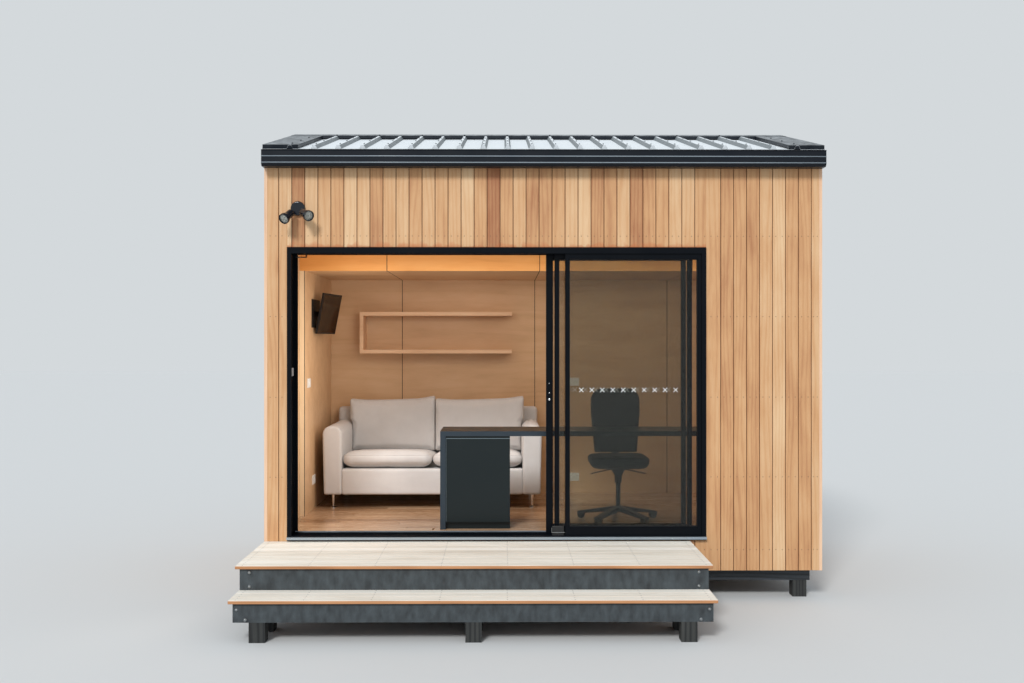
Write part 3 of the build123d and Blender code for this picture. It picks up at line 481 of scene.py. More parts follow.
# %% cladding finish
ALONG_X = (0, 90, 0)
ALONG_Y = (90, 0, 0)
STAIN_STRENGTH = 0.75
STAIN_REACH = 0.055
CEDAR = ((158, 100, 62), (202, 153, 106), (222, 186, 144))


def grain(material, place, shades, turn=(0, 0, 0), tone=None, **values):
    """Outputs of the wood group; turn brings the grain's direction onto its Z."""
    if tone is None:
        tone = add_node("Attribute", tree=material.node_tree, attribute_name="tone")["Fac"]
    values = {socket.replace("_", " "): value for socket, value in values.items()}
    values.update(zip(("Dark", "Middle", "Pale"), (screen_colour(*shade) for shade in shades)))
    turned_place = add_node("Mapping", {"Vector": place, "Rotation": np.radians(turn)})[0]
    return add_node("Group", {"Vector": turned_place, "Tone": tone, **values}, node_tree=WOOD)


def wood_finish(name, shades, relief=0.0006, **values):
    """A wood material with its relief in metres."""
    material, paint, place = new_finish(name)
    coat(paint, *grain(material, place, shades, **values), relief)
    return material


def add_stain(material, foot, colour):
    """Water marks above a level: a band of uneven height whose colour fades upwards from its foot."""
    paint = material.node_tree.nodes["Principled BSDF"].inputs
    unstained = paint["Base Color"].links[0].from_socket
    place = add_node("TexCoord", tree=material.node_tree)["Object"]
    level = axes(place)[2]
    height = remap(noise(place, 15.0, 4.0), 0.38, 0.68, foot + 0.004, foot + STAIN_REACH)
    fade = remap(level, foot, height, STAIN_STRENGTH, 0.0)
    above = remap(level, foot - 0.010, foot - 0.005)
    feed(paint, {"Base Color": mix_colour(calc("MULTIPLY", fade, above), unstained, screen_colour(*colour))})


cedar = wood_finish("cedar_boards", CEDAR, Figure=0.15, Knots=0.5, Roughness=0.6)
cedar_over_door = wood_finish("cedar_over_door", CEDAR, Figure=0.15, Knots=0.5, Roughness=0.6)
add_stain(cedar_over_door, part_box("door_head")[1].z, (190, 104, 52))
cedar_trim = wood_finish("cedar_trim", ((186, 132, 98), (222, 178, 142), (236, 202, 170)),
                         tone=0.62, Figure=0.14, Roughness=0.6)
print("cladding finish:", cedar.name, "and", cedar_trim.name)

# %% [markdown]
# Plywood is peeled from a turning log, so its figure is broad and lazy, with wide pale hills. The
# same wood group gives it with larger rings and less contrast. The floor is darker and polished, the
# platform is weathered nearly to grey on top but still brown on its sawn edges, and its tops are paler
# still from painted sunlight.

# %% inside and floor finishes
# Dark timber: the bearers' own dark stain; on the floor rims the same dark is painted shade of the space
# under the floor.
STAIN_AND_SHADE = ((22, 26, 30), (38, 43, 48), (66, 72, 78))
SHEET = dict(tone=0.5, turn=ALONG_X, relief=0.0002)
SAWN = dict(Ring_Size=2.0, Knots=0.8, Roughness=0.7)
RIM = dict(tone=0.42, relief=0.0012, Figure=0.5, Roughness=0.62)
plywood = wood_finish("plywood", ((186, 146, 106), (211, 173, 132), (226, 192, 154)),
                      Ring_Size=4.0, Figure=0.10, Roughness=0.46, **SHEET)
# The bulkhead is the same plywood as the lining, in a warmer and brighter copy: painted warm light.
bulkhead_ply_painted_warm_light = wood_finish("bulkhead_ply_painted_warm_light", ((208, 138, 66), (234, 166, 90), (244, 186, 114)),
                           Ring_Size=4.0, Figure=0.10, Roughness=0.42, **SHEET)
shelf_board = wood_finish("shelf_board", ((194, 152, 114), (220, 180, 142), (234, 202, 168)),
                          Ring_Size=3.0, Figure=0.12, Roughness=0.46, **SHEET)
lipping = wood_finish("pale_lipping", ((226, 200, 160), (240, 218, 182), (248, 230, 200)),
                      tone=0.5, relief=0.0002, Figure=0.12, Roughness=0.5)
floor_wood = wood_finish("floor_boards", ((150, 116, 86), (182, 147, 114), (204, 172, 140)),
                         turn=ALONG_X, relief=0.0002, Figure=0.12, Roughness=0.24)
pine = wood_finish("framing_pine", ((166, 120, 74), (204, 164, 112), (224, 190, 144)),
                   tone=0.5, turn=ALONG_X, **SAWN)
pine_across = wood_finish("joist_pine", ((150, 108, 68), (190, 150, 104), (214, 180, 136)),
                          tone=0.45, turn=ALONG_Y, **SAWN)
stain_and_shade = wood_finish("stain_and_shade_timber", STAIN_AND_SHADE, turn=ALONG_X, **RIM)
stained_across = wood_finish("stained_side", STAIN_AND_SHADE, turn=ALONG_Y, **RIM)
stump_wood = wood_finish("stump_timber", ((20, 21, 22), (36, 38, 38), (62, 63, 60)),
                         tone=0.45, relief=0.0018, Figure=0.6, Knots=0.6, Roughness=0.75)


def deck_finish():
    """Weathered timber: pale where the boards face the sky, brown on their sides; the pale tops are also
    painted sunlight.
    """
    material, paint, place = new_finish("deck_boards")
    shared = dict(turn=ALONG_X, Figure=0.16, Knots=0.3, Roughness=0.72)
    grey = grain(material, place, ((204, 194, 178), (232, 226, 213), (244, 240, 231)), **shared)
    brown = grain(material, place, ((150, 100, 62), (190, 134, 90), (212, 160, 118)), **shared)
    # Faces that look up get the pale grey: weathering and painted sunlight together.
    sky = remap(facing(material.node_tree)[2], 0.4, 0.8)
    coat(paint, mix_colour(sky, brown["Color"], grey["Color"]), grey["Roughness"], grey["Height"], 0.0008)
    return material


deck_wood = deck_finish()
print("wood finishes:", len(bpy.data.materials))

# %% [markdown]
# Powder coat is a skin of melted plastic on metal. Seen close it has the faint dimples of an orange
# peel, and outdoors a thin veil of dust settles on it, most of all on faces that look up. On the
# roof's caps the heavy pale veil on upward faces is dust and painted sky reflection together.

# %% coated metal and plastic
CLOUD_SCALE = 5.0
SPECK_SCALE = 160.0
VEIL_ROUGHNESS = 0.35


def skin_group():
    """Colour, roughness and dimples of a coated or moulded skin with a veil of dust on it, which on the caps
    is also painted sky reflection.
    """
    numbers = {"Dust And Reflection": 0.3, "Side Dust And Reflection": 0.12, "Roughness": 0.4, "Grain Scale": 900.0}
    tree, given, result = new_group("coated_skin", numbers, ("Color", "Dust And Reflection Color"))
    # Faces that look up get the most of the veil: dust, and on the caps painted sky reflection.
    up_facing = remap(facing(tree)[2], 0.2, 0.95, given["Side Dust And Reflection"], 1.0)
    cloud = noise(given["Vector"], CLOUD_SCALE, 5.0)
    speck = noise(given["Vector"], SPECK_SCALE, 3.0)
    veil = calc("MULTIPLY", remap(cloud, *USUAL_NOISE), remap(speck, 0.25, 0.7, 0.4, 1.0))
    veil = calc("MULTIPLY", calc("MULTIPLY", veil, up_facing), given["Dust And Reflection"])
    rough = calc("MULTIPLY_ADD", veil, VEIL_ROUGHNESS, given["Roughness"])
    feed(result, {
        "Color": mix_colour(veil, given["Color"], given["Dust And Reflection Color"]),
        "Roughness": calc("ADD", rough, remap(cloud, *USUAL_NOISE, -0.04, 0.04)),
        "Height": noise(given["Vector"], given["Grain Scale"])})
    return tree


SKIN = skin_group()


def skin_finish(name, colour, roughness, dust_and_reflection=0.3, dust_and_reflection_colour=(170, 168, 160), relief=0.00006,
                grain_scale=900.0, side_dust_and_reflection=0.12, stretch=(1, 1, 1), painted_rib_shade=None, **plain):
    """A coated or moulded material; stretch draws its veil out, and the rib colour is painted shade on steep
    sides.
    """
    material, paint, place = new_finish(name, **plain)
    place = add_node("Mapping", {"Vector": place, "Scale": stretch})[0]
    given = {"Vector": place, "Color": screen_colour(*colour), "Dust And Reflection Color": screen_colour(*dust_and_reflection_colour),
             "Dust And Reflection": dust_and_reflection, "Side Dust And Reflection": side_dust_and_reflection, "Roughness": roughness, "Grain Scale": grain_scale}
    skin = add_node("Group", given, node_tree=SKIN)
    colour = skin["Color"]
    # Painted shade: faces that stand steep, the ribs' sides, are mixed towards a darker colour.
    if painted_rib_shade:
        steep = remap(calc("ABSOLUTE", facing(material.node_tree)[0]), 0.3, 0.6)
        colour = mix_colour(steep, colour, screen_colour(*painted_rib_shade))
    coat(paint, colour, skin["Roughness"], skin["Height"], relief)
    return material


# The roof's ribs get painted shade on their steep sides.
roof_coat = skin_finish("roof_coat", (224, 230, 234), 0.42, dust_and_reflection_colour=(220, 220, 214),
                        painted_rib_shade=(122, 129, 132))
dark_coat = skin_finish("dark_coat", (10, 17, 26), 0.36, dust_and_reflection=0.05, Specular_IOR_Level=0.22)
# The caps' heavy pale veil on faces that look up is dust and painted sky reflection together.
cap_coat = skin_finish("cap_coat", (16, 24, 34), 0.4, dust_and_reflection=1.2, dust_and_reflection_colour=(172, 177, 180), side_dust_and_reflection=0.03,
                       stretch=(3.2, 3.2, 3.2), Specular_IOR_Level=0.25)
# The beads' pale grey is a painted highlight on the dark gutter metal.
bead_painted_highlight = skin_finish("bead_painted_highlight", (128, 138, 146), 0.25, dust_and_reflection=0.1)
frame_coat = skin_finish("frame_coat", (3, 7, 14), 0.36, dust_and_reflection=0.03, Specular_IOR_Level=0.11)
lamp_coat = skin_finish("lamp_coat", (12, 17, 27), 0.16, dust_and_reflection=0.05)
fascia_paint = skin_finish("fascia_paint", (38, 43, 46), 0.6, dust_and_reflection=0.5, dust_and_reflection_colour=(110, 121, 126),
                           side_dust_and_reflection=0.7, stretch=(5, 1, 2.4))
bare_metal = skin_finish("bare_metal", (168, 180, 190), 0.34, dust_and_reflection=0.25, Metallic=0.9)
chrome = skin_finish("chrome", (226, 228, 230), 0.20, dust_and_reflection=0.05, Metallic=1.0)
nail_metal = skin_finish("nail_metal", (112, 92, 76), 0.45, Metallic=0.6)
screw_metal = skin_finish("screw_metal", (150, 154, 156), 0.35, dust_and_reflection=0.2, Metallic=0.9)
rubber = skin_finish("rubber_seal", (20, 20, 21), 0.7, dust_and_reflection=0.12, relief=0.0001)
plastic = skin_finish("black_plastic", (18, 19, 21), 0.5, dust_and_reflection=0.05, relief=0.0002, grain_scale=1400.0)
white_plastic = skin_finish("white_plastic", (232, 232, 228), 0.35, dust_and_reflection=0.05)
membrane = skin_finish("wall_membrane", (34, 32, 30), 0.8, dust_and_reflection=0.2, relief=0.0004)
laminate = skin_finish("desk_laminate", (14, 25, 27), 0.34, dust_and_reflection=0.04, dust_and_reflection_colour=(110, 118, 120),
                       grain_scale=500.0, Specular_IOR_Level=0.35)
desk_edge = skin_finish("desk_edge", (33, 46, 56), 0.4, dust_and_reflection=0.06)
desk_painted_highlight = skin_finish("desk_painted_highlight", (112, 126, 132), 0.35, dust_and_reflection=0.06)
print("coated finishes:", roof_coat.name, dark_coat.name, frame_coat.name)

# %% [markdown]
# Woven cloth is threads that pass over and under each other. Far away only a slight flicker is left,
# close by each thread catches the light. A product of sine waves gives the crossings on every face of
# a cushion without a map, and a second, slower noise gives the uneven yarn. Sheen adds the pale rim
# that fine fibres give to cloth.

# %% cloth finishes
THREAD = 0.0016
YARN_SCALE = 380.0
SOFT_SCALE = 9.0


def weave_group():
    """Threads over and under: sin x sin y + sin y sin z + sin z sin x, with uneven yarn."""
    tree, given, result = new_group("weave", {"Roughness": 0.85}, ("Color", "Shade Color"))
    waves = [calc("SINE", calc("MULTIPLY", part, np.pi / THREAD)) for part in axes(given["Vector"])]
    total = calc("MULTIPLY", waves[0], waves[1])
    total = calc("MULTIPLY_ADD", waves[1], waves[2], total)
    total = calc("MULTIPLY_ADD", waves[2], waves[0], total)
    yarn = noise(given["Vector"], YARN_SCALE, 3.0)
    soft = noise(given["Vector"], SOFT_SCALE, 3.0)
    height = calc("MULTIPLY_ADD", total, 0.5, yarn)
    # Painted shade: the low places between the crossings are mixed towards the darker colour; the slow noise
    # adds uneven yarn colour.
    shade = calc("ADD", remap(height, -0.4, 1.2, 0.35, 0.0), remap(soft, *USUAL_NOISE, 0.22, 0.0))
    feed(result, {
        "Color": mix_colour(shade, given["Color"], given["Shade Color"]),
        "Roughness": calc("ADD", given["Roughness"], remap(yarn, *USUAL_NOISE, -0.05, 0.05)),
        "Height": height})
    return tree


WEAVE = weave_group()


def cloth_finish(name, colour, shade, sheen):
    """A woven material with soft fibres on it."""
    material, paint, place = new_finish(name, Sheen_Weight=sheen, Sheen_Roughness=0.5)
    shades = {"Color": screen_colour(*colour), "Shade Color": screen_colour(*shade)}
    coat(paint, *add_node("Group", {"Vector": place, **shades}, node_tree=WEAVE), 0.0003)
    return material


sofa_cloth = cloth_finish("sofa_cloth", (213, 211, 209), (187, 183, 181), 0.2)
piping_cloth = cloth_finish("sofa_piping", (198, 194, 191), (166, 160, 157), 0.2)
chair_cloth = cloth_finish("chair_cloth", (20, 22, 25), (9, 10, 12), 0.15)
print("cloth finishes:", sofa_cloth.name, chair_cloth.name)

# %% [markdown]
# Window glass is clear with a faint tint that deepens where panes overlap. It keeps one smooth
# roughness, because texture in it would look like frost. A lamp's lens is pale and patterned, with
# round cells standing for its fine ribs; the dark grey-brown between the cells' pale middles is
# painted reflection.

# %% glass finishes
door_glass = new_finish("door_glass", Roughness=0.0, Base_Color=screen_colour(224, 226, 221),
                        Transmission_Weight=1.0, IOR=1.27)[0]
mark_white = skin_finish("glass_mark", (236, 240, 240), 0.6, dust_and_reflection=0.05)
# The crosses on the leaves behind the fixed pane are the same white film, coloured grey as painted shade of
# the glass in front.
mark_painted_shade = skin_finish("glass_mark_painted_shade", (176, 178, 172), 0.6, dust_and_reflection=0.05)
screen_glass = skin_finish("screen_glass", (8, 7, 7), 0.22, dust_and_reflection=0.03, Specular_IOR_Level=0.15)
lamp_lens, paint, place = new_finish("lamp_lens", Coat_Weight=0.8)
cells = add_node("TexVoronoi", {"Vector": place, "Scale": 160.0})["Distance"]
# The dark grey-brown between the pale cells is painted reflection.
cells_and_reflection = mix_colour(remap(cells, 0.1, 0.7), screen_colour(196, 198, 188), screen_colour(98, 98, 92))
coat(paint, cells_and_reflection, remap(cells, 0.0, 1.0, 0.12, 0.3), cells, 0.0015)
print("all finishes:", len(bpy.data.materials))

# %% [markdown]
# Frames, posts, caps and furniture boards have their right shape in the imported model already. Making
# them again would only risk moving them, so they get a finish and nothing else. The finish follows
# what each one is made of, except for painted light in three: the bulkhead's warmer plywood is painted
# warm light, the floor rims' dark timber painted shade, and the caps' pale veil partly painted sky
# reflection.

# %% dress the imported pieces
for material, names in (
        (membrane, "wall_left wall_right wall_rear wall_beside_door wall_over_door"),
        (plywood, "lining_left lining_right lining_rear lining_front ceiling_lining"),
        (bulkhead_ply_painted_warm_light, "ceiling_bulkhead"), (shelf_board, "wall_shelf"), (cedar_trim, "corner_trims"),
        (pine, "ridge_beam roof_battens"), (pine_across, "floor_joists rafters"),
        # The floor rims' dark is painted shade under the floor; the bearers' is their own stain.
        (stain_and_shade, "bearers floor_rims"), (fascia_paint, "deck_rims"), (stained_across, "deck_joists"),
        (stump_wood, "ground_stumps"), (roof_coat, "roof_sheets"), (dark_coat, "gutters"),
        (cap_coat, "ridge_cap barge_caps"), (lamp_coat, "light_base light_head_left light_head_right"),
        (frame_coat, "door_head door_sill door_jambs fixed_panel middle_leaf inner_leaf inner_handle"),
        (bare_metal, "door_subsill"), (door_glass, "fixed_glass middle_glass inner_glass"),
        (laminate, "desk_top desk_pedestal"), (chrome, "sofa_feet"), (plastic, "chair_frame wall_screen")):
    for name in names.split():
        nodes[name].data.materials.clear()
        nodes[name].data.materials.append(material)
print("dressed", sum(bool(o.data.materials) for o in nodes.values()), "of", len(nodes), "nodes")

# %% [markdown]
# Shiplap cladding is a row of upright boards. Each board laps the next at its back, so the joint is a
# thin groove with wood at half depth, never a gap. Boards of equal cover are laid from one end of a
# wall to the other, each a little block with eased edges, and a thin lap strip closes each joint; the
# strip is coloured dark brown, painted shade of the narrow groove. The gable walls use the same boards
# with their tops moved to the slope of the roof.

# %% cladding boards
BOARD_COVER = 0.0936
BOARD_GAP = 0.0050
BOARD_EDGE = 0.0016
LAP_DEPTH = 0.011
LAP_BACK = 0.0195
LAP_OVER = 0.001
ROOF_SLOPE = 0.2408
FIRST_JOINT = -1.9058
LAP_SHADE_TONE = -1.0
RED_BOARD = -0.381
RED_TONE = 0.05
TRIM = 0.022
random = np.random.default_rng(7)
front_low, front_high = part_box("cladding_front")
bay_low, bay_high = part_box("cladding_door_bay")
side_low, side_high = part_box("cladding_sides")
rear_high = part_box("cladding_rear")[1]
wall_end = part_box("corner_trims")[1].x - TRIM
FRONT_Y, REAR_Y, SKIRT = front_low.y, rear_high.y, front_low.z
RIDGE_Y = (side_low.y + side_high.y) / 2


def joints(start, end, phase):
    """Edges of the boards between two ends: joints one cover apart, counted from a phase."""
    first = np.ceil((start - phase) / BOARD_COVER + 0.25)
    last = np.floor((end - phase) / BOARD_COVER - 0.25)
    return np.concatenate([[start], phase + np.arange(first, last + 1) * BOARD_COVER, [end]])


def board_tones(count):
    """Uneven tones: mostly middle, with a few dark and a few pale boards."""
    return np.clip(random.normal(0.52, 0.17, count), 0.08, 0.95)


def wall_boards(name, node, walls, place, finish=cedar, red=None):
    """Boards and lap strips from (start, end, phase, low, high), put in place by a function."""
    spans, tones = [], []
    for start, end, phase, low, high in walls:
        edges = joints(start, end, phase)
        left, right = edges[:-1].copy(), edges[1:].copy()
        left[1:] += BOARD_GAP / 2
        right[:-1] -= BOARD_GAP / 2
        tone = board_tones(len(left))
        if red is not None:
            tone[np.abs((left + right) / 2 - red) < BOARD_COVER / 2] = RED_TONE
        # Lap strips take the tone that paints them with the groove's shade.
        tones += [*tone, *[LAP_SHADE_TONE] * (len(left) - 1)]
        spans += [((a, 0, low), (b, LAP_BACK, high)) for a, b in zip(left, right)]
        spans += [((a - LAP_OVER, LAP_DEPTH, low), (b + LAP_OVER, LAP_BACK - LAP_OVER, high))
                  for a, b in zip(right, left[1:])]
    piece = blocks(name, spans, BOARD_EDGE, finish, tones, shape=place, slot="cedar_boards")
    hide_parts(node)
    clean(piece.data)
    print(name, "has", len(spans), "blocks")


def front_place(points):
    """Move a wall's boards to the front."""
    return points + (0, FRONT_Y, 0)


wall_boards("front_boards", "cladding_front", [
    (-wall_end, bay_low.x, FIRST_JOINT, SKIRT, front_high.z),
    (bay_high.x, wall_end, FIRST_JOINT, SKIRT, front_high.z)], front_place)
wall_boards("door_bay_boards", "cladding_door_bay", [
    (bay_low.x, bay_high.x, FIRST_JOINT, bay_low.z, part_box("door_sill")[0].z),
    (bay_low.x, bay_high.x, FIRST_JOINT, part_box("door_head")[1].z, bay_high.z)],
    front_place, cedar_over_door, RED_BOARD)

# %% [markdown]
# The rear wall mirrors the front one. On the gable walls the boards are counted along Y, and the top
# of each follows the roof: its height drops by the slope times the distance from the ridge.

# %% rear and gable boards
GABLE_JOINT = RIDGE_Y - BOARD_COVER / 2


def rear_place(points):
    """Mirror a wall's boards to the rear."""
    return points * (1, -1, 1) + (0, REAR_Y, 0)


def gable_place(side):
    """Function that carries (along, depth, level) to a gable wall and drops its tops to the roof."""
    def place(points):
        """X is the face less the depth, Y is along, Z is the level less the drop."""
        along, depth, level = np.moveaxis(points, -1, 0)
        upper = level > (side_high.z + SKIRT) / 2
        drop = ROOF_SLOPE * np.abs(along - RIDGE_Y) * upper
        return np.stack([side * side_high.x - side * depth, along, level - drop], -1)
    return place


rear = (-wall_end, wall_end, FIRST_JOINT, SKIRT, rear_high.z)
wall_boards("rear_boards", "cladding_rear", [rear], rear_place)
gable = (side_low.y, side_high.y, GABLE_JOINT, SKIRT, side_high.z)
wall_boards("left_gable_boards", "cladding_sides", [gable], gable_place(-1))
wall_boards("right_gable_boards", "cladding_sides", [gable], gable_place(1))

# %% [markdown]
# Each board is held by two nails wherever it crosses a batten. A nail's head is a shallow dome that
# stands about half a millimetre proud. There are over a thousand, so each has only a few faces.

# %% cladding nails
NAIL_RADIUS = 0.0032
NAIL_RISE = 0.0006
NAIL_SIDES = 7
NAIL_ROWS = np.array([0.36, 0.885, 1.46, 2.04, 2.62, 3.16])
NAIL_PROFILE = [(NAIL_RADIUS, -0.002), (NAIL_RADIUS, NAIL_RISE / 2), (NAIL_RADIUS * 0.5, NAIL_RISE)]
BAY_MARGIN = 0.004
BAY_LEVELS = (0.42, 2.55)
BARGE_DROP = 0.14


def nail_places(start, end, phase):
    """Two places on each board in each row, a quarter of its width from its edges."""
    edges = joints(start, end, phase)
    width = np.diff(edges)
    along = np.concatenate([edges[:-1] + width * 0.25, edges[:-1] + width * 0.75])
    return [v.ravel() for v in np.meshgrid(along, NAIL_ROWS)]


def nails(name, along, level, face, out):
    """Nail heads on a face: out is the direction they look."""
    centres = np.column_stack([along, np.full(len(along), face), level])
    if out[0]:
        centres = centres[:, (1, 0, 2)]
    turned(name, NAIL_PROFILE, centres, out, nail_metal, around=NAIL_SIDES, slot="bare_metal")
    print(name, len(centres))


a, z = nail_places(-wall_end, wall_end, FIRST_JOINT)
in_bay = (a > bay_low.x - BAY_MARGIN) & (a < bay_high.x + BAY_MARGIN)
in_bay &= (z > BAY_LEVELS[0]) & (z < BAY_LEVELS[1])
nails("front_nails", a[~in_bay], z[~in_bay], FRONT_Y, (0, -1, 0))
nails("rear_nails", a, z, REAR_Y, (0, 1, 0))
a, z = nail_places(side_low.y, side_high.y, GABLE_JOINT)
under = z < side_high.z - ROOF_SLOPE * np.abs(a - RIDGE_Y) - BARGE_DROP
nails("left_nails", a[under], z[under], -side_high.x, (-1, 0, 0))
nails("right_nails", a[under], z[under], side_high.x, (1, 0, 0))

# %% [markdown]
# The roof's sheets are screwed through the ribs into the battens. Such a screw has a six-sided head
# on a round washer with a seal. Heads are placed by the ribs' spacing and the battens' distances from
# the ridge, and their axis stands square to the sheet.

# %% roof screws
RIB_PITCH = 0.173
RIB_TOP = 0.0286
SHEET_END = 1.75
BATTEN_LINES = np.array([0.4517, 0.7983, 1.145])
CAP_LINE = 0.135
CAP_RISE = 0.0045
BARGE_RISE = 0.0025
WASHER = 0.0085
HEAD = 0.0052
SCREW_PROFILE = [(WASHER, -0.0005), (WASHER, 0.0008), (HEAD * 1.25, 0.0018), (HEAD, 0.0022), (HEAD, 0.0062),
                 (HEAD * 0.7, 0.0068)]
roof_angle = np.arctan(ROOF_SLOPE)
RIDGE_Z = side_high.z + 0.002
rib_lines = (np.arange(-11, 11) + 0.5) * RIB_PITCH
open_ribs = rib_lines[np.abs(rib_lines) < SHEET_END]
outer_ribs = rib_lines[np.abs(rib_lines) > SHEET_END][[0, -1]]


def slope(side):
    """Directions square to one slope's sheet and up that slope."""
    s, c = np.sin(roof_angle), np.cos(roof_angle)
    return np.array([0, side * s, c]), np.array([0, -side * c, s])


def roof_screws(name, side, x, down, above, material, slot):
    """Screws on one slope: down is the level distance from the ridge, above is square to the sheet."""
    x, down = [v.ravel() for v in np.meshgrid(x, down)]
    places = np.column_stack([x, RIDGE_Y + side * down, RIDGE_Z - ROOF_SLOPE * down])
    normal = slope(side)[0]
    turned(name, SCREW_PROFILE, places + normal * above, normal, material, around=6, slot=slot, smooth=False)


for side, word in ((-1, "front"), (1, "rear")):
    for kind, x, down, above, material, slot in (
            ("roof", open_ribs, BATTEN_LINES, RIB_TOP, screw_metal, "roof_metal"),
            ("cap", open_ribs[::2], [CAP_LINE], RIB_TOP + CAP_RISE, dark_coat, "dark_metal"),
            ("barge", outer_ribs, BATTEN_LINES, RIB_TOP + BARGE_RISE, dark_coat, "dark_metal")):
        roof_screws(f"{word}_{kind}_screws", side, x, down, above, material, slot)
print("roof screws on", len(open_ribs), "ribs")

# %% [markdown]
# The open ends of the ribs are closed with folded tongues, so that nothing flies or blows in under the
# sheet. Each tongue fills the rib's section: a trapezium a little smaller than the metal round it, and
# a few millimetres deep. Plates close the gable caps in the same way. The gutter's rolled beads are
# slim tubes in a pale grey that the dark gutter metal doesn't have: a painted highlight, the bright
# line of sky along each bead.

# %% rib ends and gutter beads
RIB_BASE_HALF = 0.0228
RIB_TOP_HALF = 0.0089
TONGUE_HEIGHT = 0.0268
TONGUE_DEPTH = 0.004
TONGUE_SETBACK = 0.0006
EAVE_RUN = 1.25
RIDGE_LEVEL = 3.538
BARGE_REACH = np.array((1.758, 2.0095))
END_HEIGHT = (0.0004, 0.0296)
END_SETBACK = (0.0014, 0.0034)
BEAD_LEVELS = (3.178, 3.133)
BEAD_RADIUS = 0.0040
BEAD_PROUD = 0.0010
TONGUE_FACES = [(3, 2, 1, 0), (4, 5, 6, 7), (0, 1, 5, 4), (1, 2, 6, 5), (2, 3, 7, 6), (3, 0, 4, 7)]


def at_eave(points, side):
    """Carry (across, height, depth) to an eave: height square to the sheet, depth up the slope."""
    start = (0, RIDGE_Y + side * EAVE_RUN, RIDGE_LEVEL - ROOF_SLOPE * EAVE_RUN)
    return start + points @ np.array([(1, 0, 0), *slope(side)])


tongue = np.column_stack([
    [-RIB_BASE_HALF, RIB_BASE_HALF, RIB_TOP_HALF, -RIB_TOP_HALF] * 2,
    [0.0002, 0.0002, TONGUE_HEIGHT, TONGUE_HEIGHT] * 2,
    np.repeat([TONGUE_SETBACK, TONGUE_SETBACK + TONGUE_DEPTH], 4)])
tongues = tongue + open_ribs[:, None, None] * (1, 0, 0)
ends = np.array([[(x, END_HEIGHT[i], END_SETBACK[i]) for i, x in enumerate(sorted(side * BARGE_REACH))]
                 for side in (-1, 1)])
plates = block_points(ends[:, 0], ends[:, 1], 0.0003)
plates = np.vstack([at_eave(plates, side) for side in (-1, 1)])
link_piece("gable_cap_ends", clean(block_mesh("gable_cap_ends", plates)), cap_coat, slot="dark_metal")
gutter_low, gutter_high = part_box("gutters")
for side, word, face in ((-1, "front", gutter_low.y), (1, "rear", gutter_high.y)):
    name = word + "_rib_ends"
    mesh = mesh_from(name, at_eave(tongues, side), repeat_faces(TONGUE_FACES, len(open_ribs), len(tongue)))
    link_piece(name, clean(mesh), roof_coat, slot="roof_metal")
    y = face - side * (BEAD_RADIUS - BEAD_PROUD)
    for number, level in enumerate(BEAD_LEVELS):
        path = [(x, y, level) for x in np.linspace(gutter_low.x + 0.001, gutter_high.x - 0.001, 5)]
        tube(f"{word}_gutter_bead_{number + 1}", path, BEAD_RADIUS, bead_painted_highlight, around=12, slot="dark_metal")
print("rib ends:", len(open_ribs), "on each eave")

# %% [markdown]
# Platform boards are wide, with a gap for water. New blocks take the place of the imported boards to
# give each its own tone and softened edges. Two screws hold each board on each joist. The dark fascias
# in front are bolted to the joists near their right ends, where the photograph shows pale bolt heads.
# The same heads are repeated at the other ends, because a frame needs them at every corner.

# %% platform
DECK_EDGE = 0.0028
DECK_GAP = 0.004
DECK_THICKNESS = 0.022
DECK_DEPTH = 0.885
STEP_TOP = 0.266
STEP_WIDTH = 3.024
NOSING = 0.021
JOIST_INSET = 0.026 + 0.0175
JOISTS = 8
DECK_SCREW = [(0.0045, -0.002), (0.0045, 0.0002), (0.0028, 0.0003)]
BOLT = [(0.011, -0.001), (0.011, 0.0016), (0.0075, 0.0022), (0.0075, 0.0058), (0.0052, 0.0066)]
deck_low, deck_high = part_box("deck_boards")
step_margin = (deck_high.x - deck_low.x - STEP_WIDTH) / 2
deck_front, step_front = FRONT_Y - DECK_DEPTH, deck_low.y
spans, screw_places = [], []
for x0, x1, y0, y1, top, count in (
        (deck_low.x, deck_high.x, deck_front, FRONT_Y, deck_high.z, 10),
        (deck_low.x + step_margin, deck_high.x - step_margin, step_front, deck_front + NOSING, STEP_TOP, 3)):
    width = (y1 - y0 - DECK_GAP * (count - 1)) / count
    start = y0 + np.arange(count) * (width + DECK_GAP)
    spans += [((x0, y, top - DECK_THICKNESS), (x1, y + width, top)) for y in start]
    joists = np.linspace(x0 + JOIST_INSET, x1 - JOIST_INSET, JOISTS)
    rows = np.concatenate([start + width * 0.22, start + width * 0.78])
    screw_places += [(x, y, top) for y in rows for x in joists]
platform = blocks("platform_boards", spans, DECK_EDGE, deck_wood, board_tones(len(spans)), slot="deck_timber")
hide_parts("deck_boards")
turned("platform_screws", DECK_SCREW, screw_places, (0, 0, 1), screw_metal, around=8, slot="bare_metal")
bolt_places = [
    (x, face + NOSING, level)
    for face, inset, level in (
        (deck_front, 0.088, 0.378), (deck_front, 0.088, 0.288),
        (step_front, 0.071, 0.205), (step_front, 0.124, 0.142))
    for x in (deck_low.x + inset, deck_high.x - inset)]
turned("fascia_bolts", BOLT, bolt_places, (0, -1, 0), screw_metal, around=12, slot="bare_metal")
print("platform boards:", len(spans), "bolts:", len(bolt_places))

# %% [markdown]
# The floor inside is boarded along the room, in rows that break joint like bricks. Each row is cut at
# places of its own, and each length has its own tone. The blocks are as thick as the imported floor.

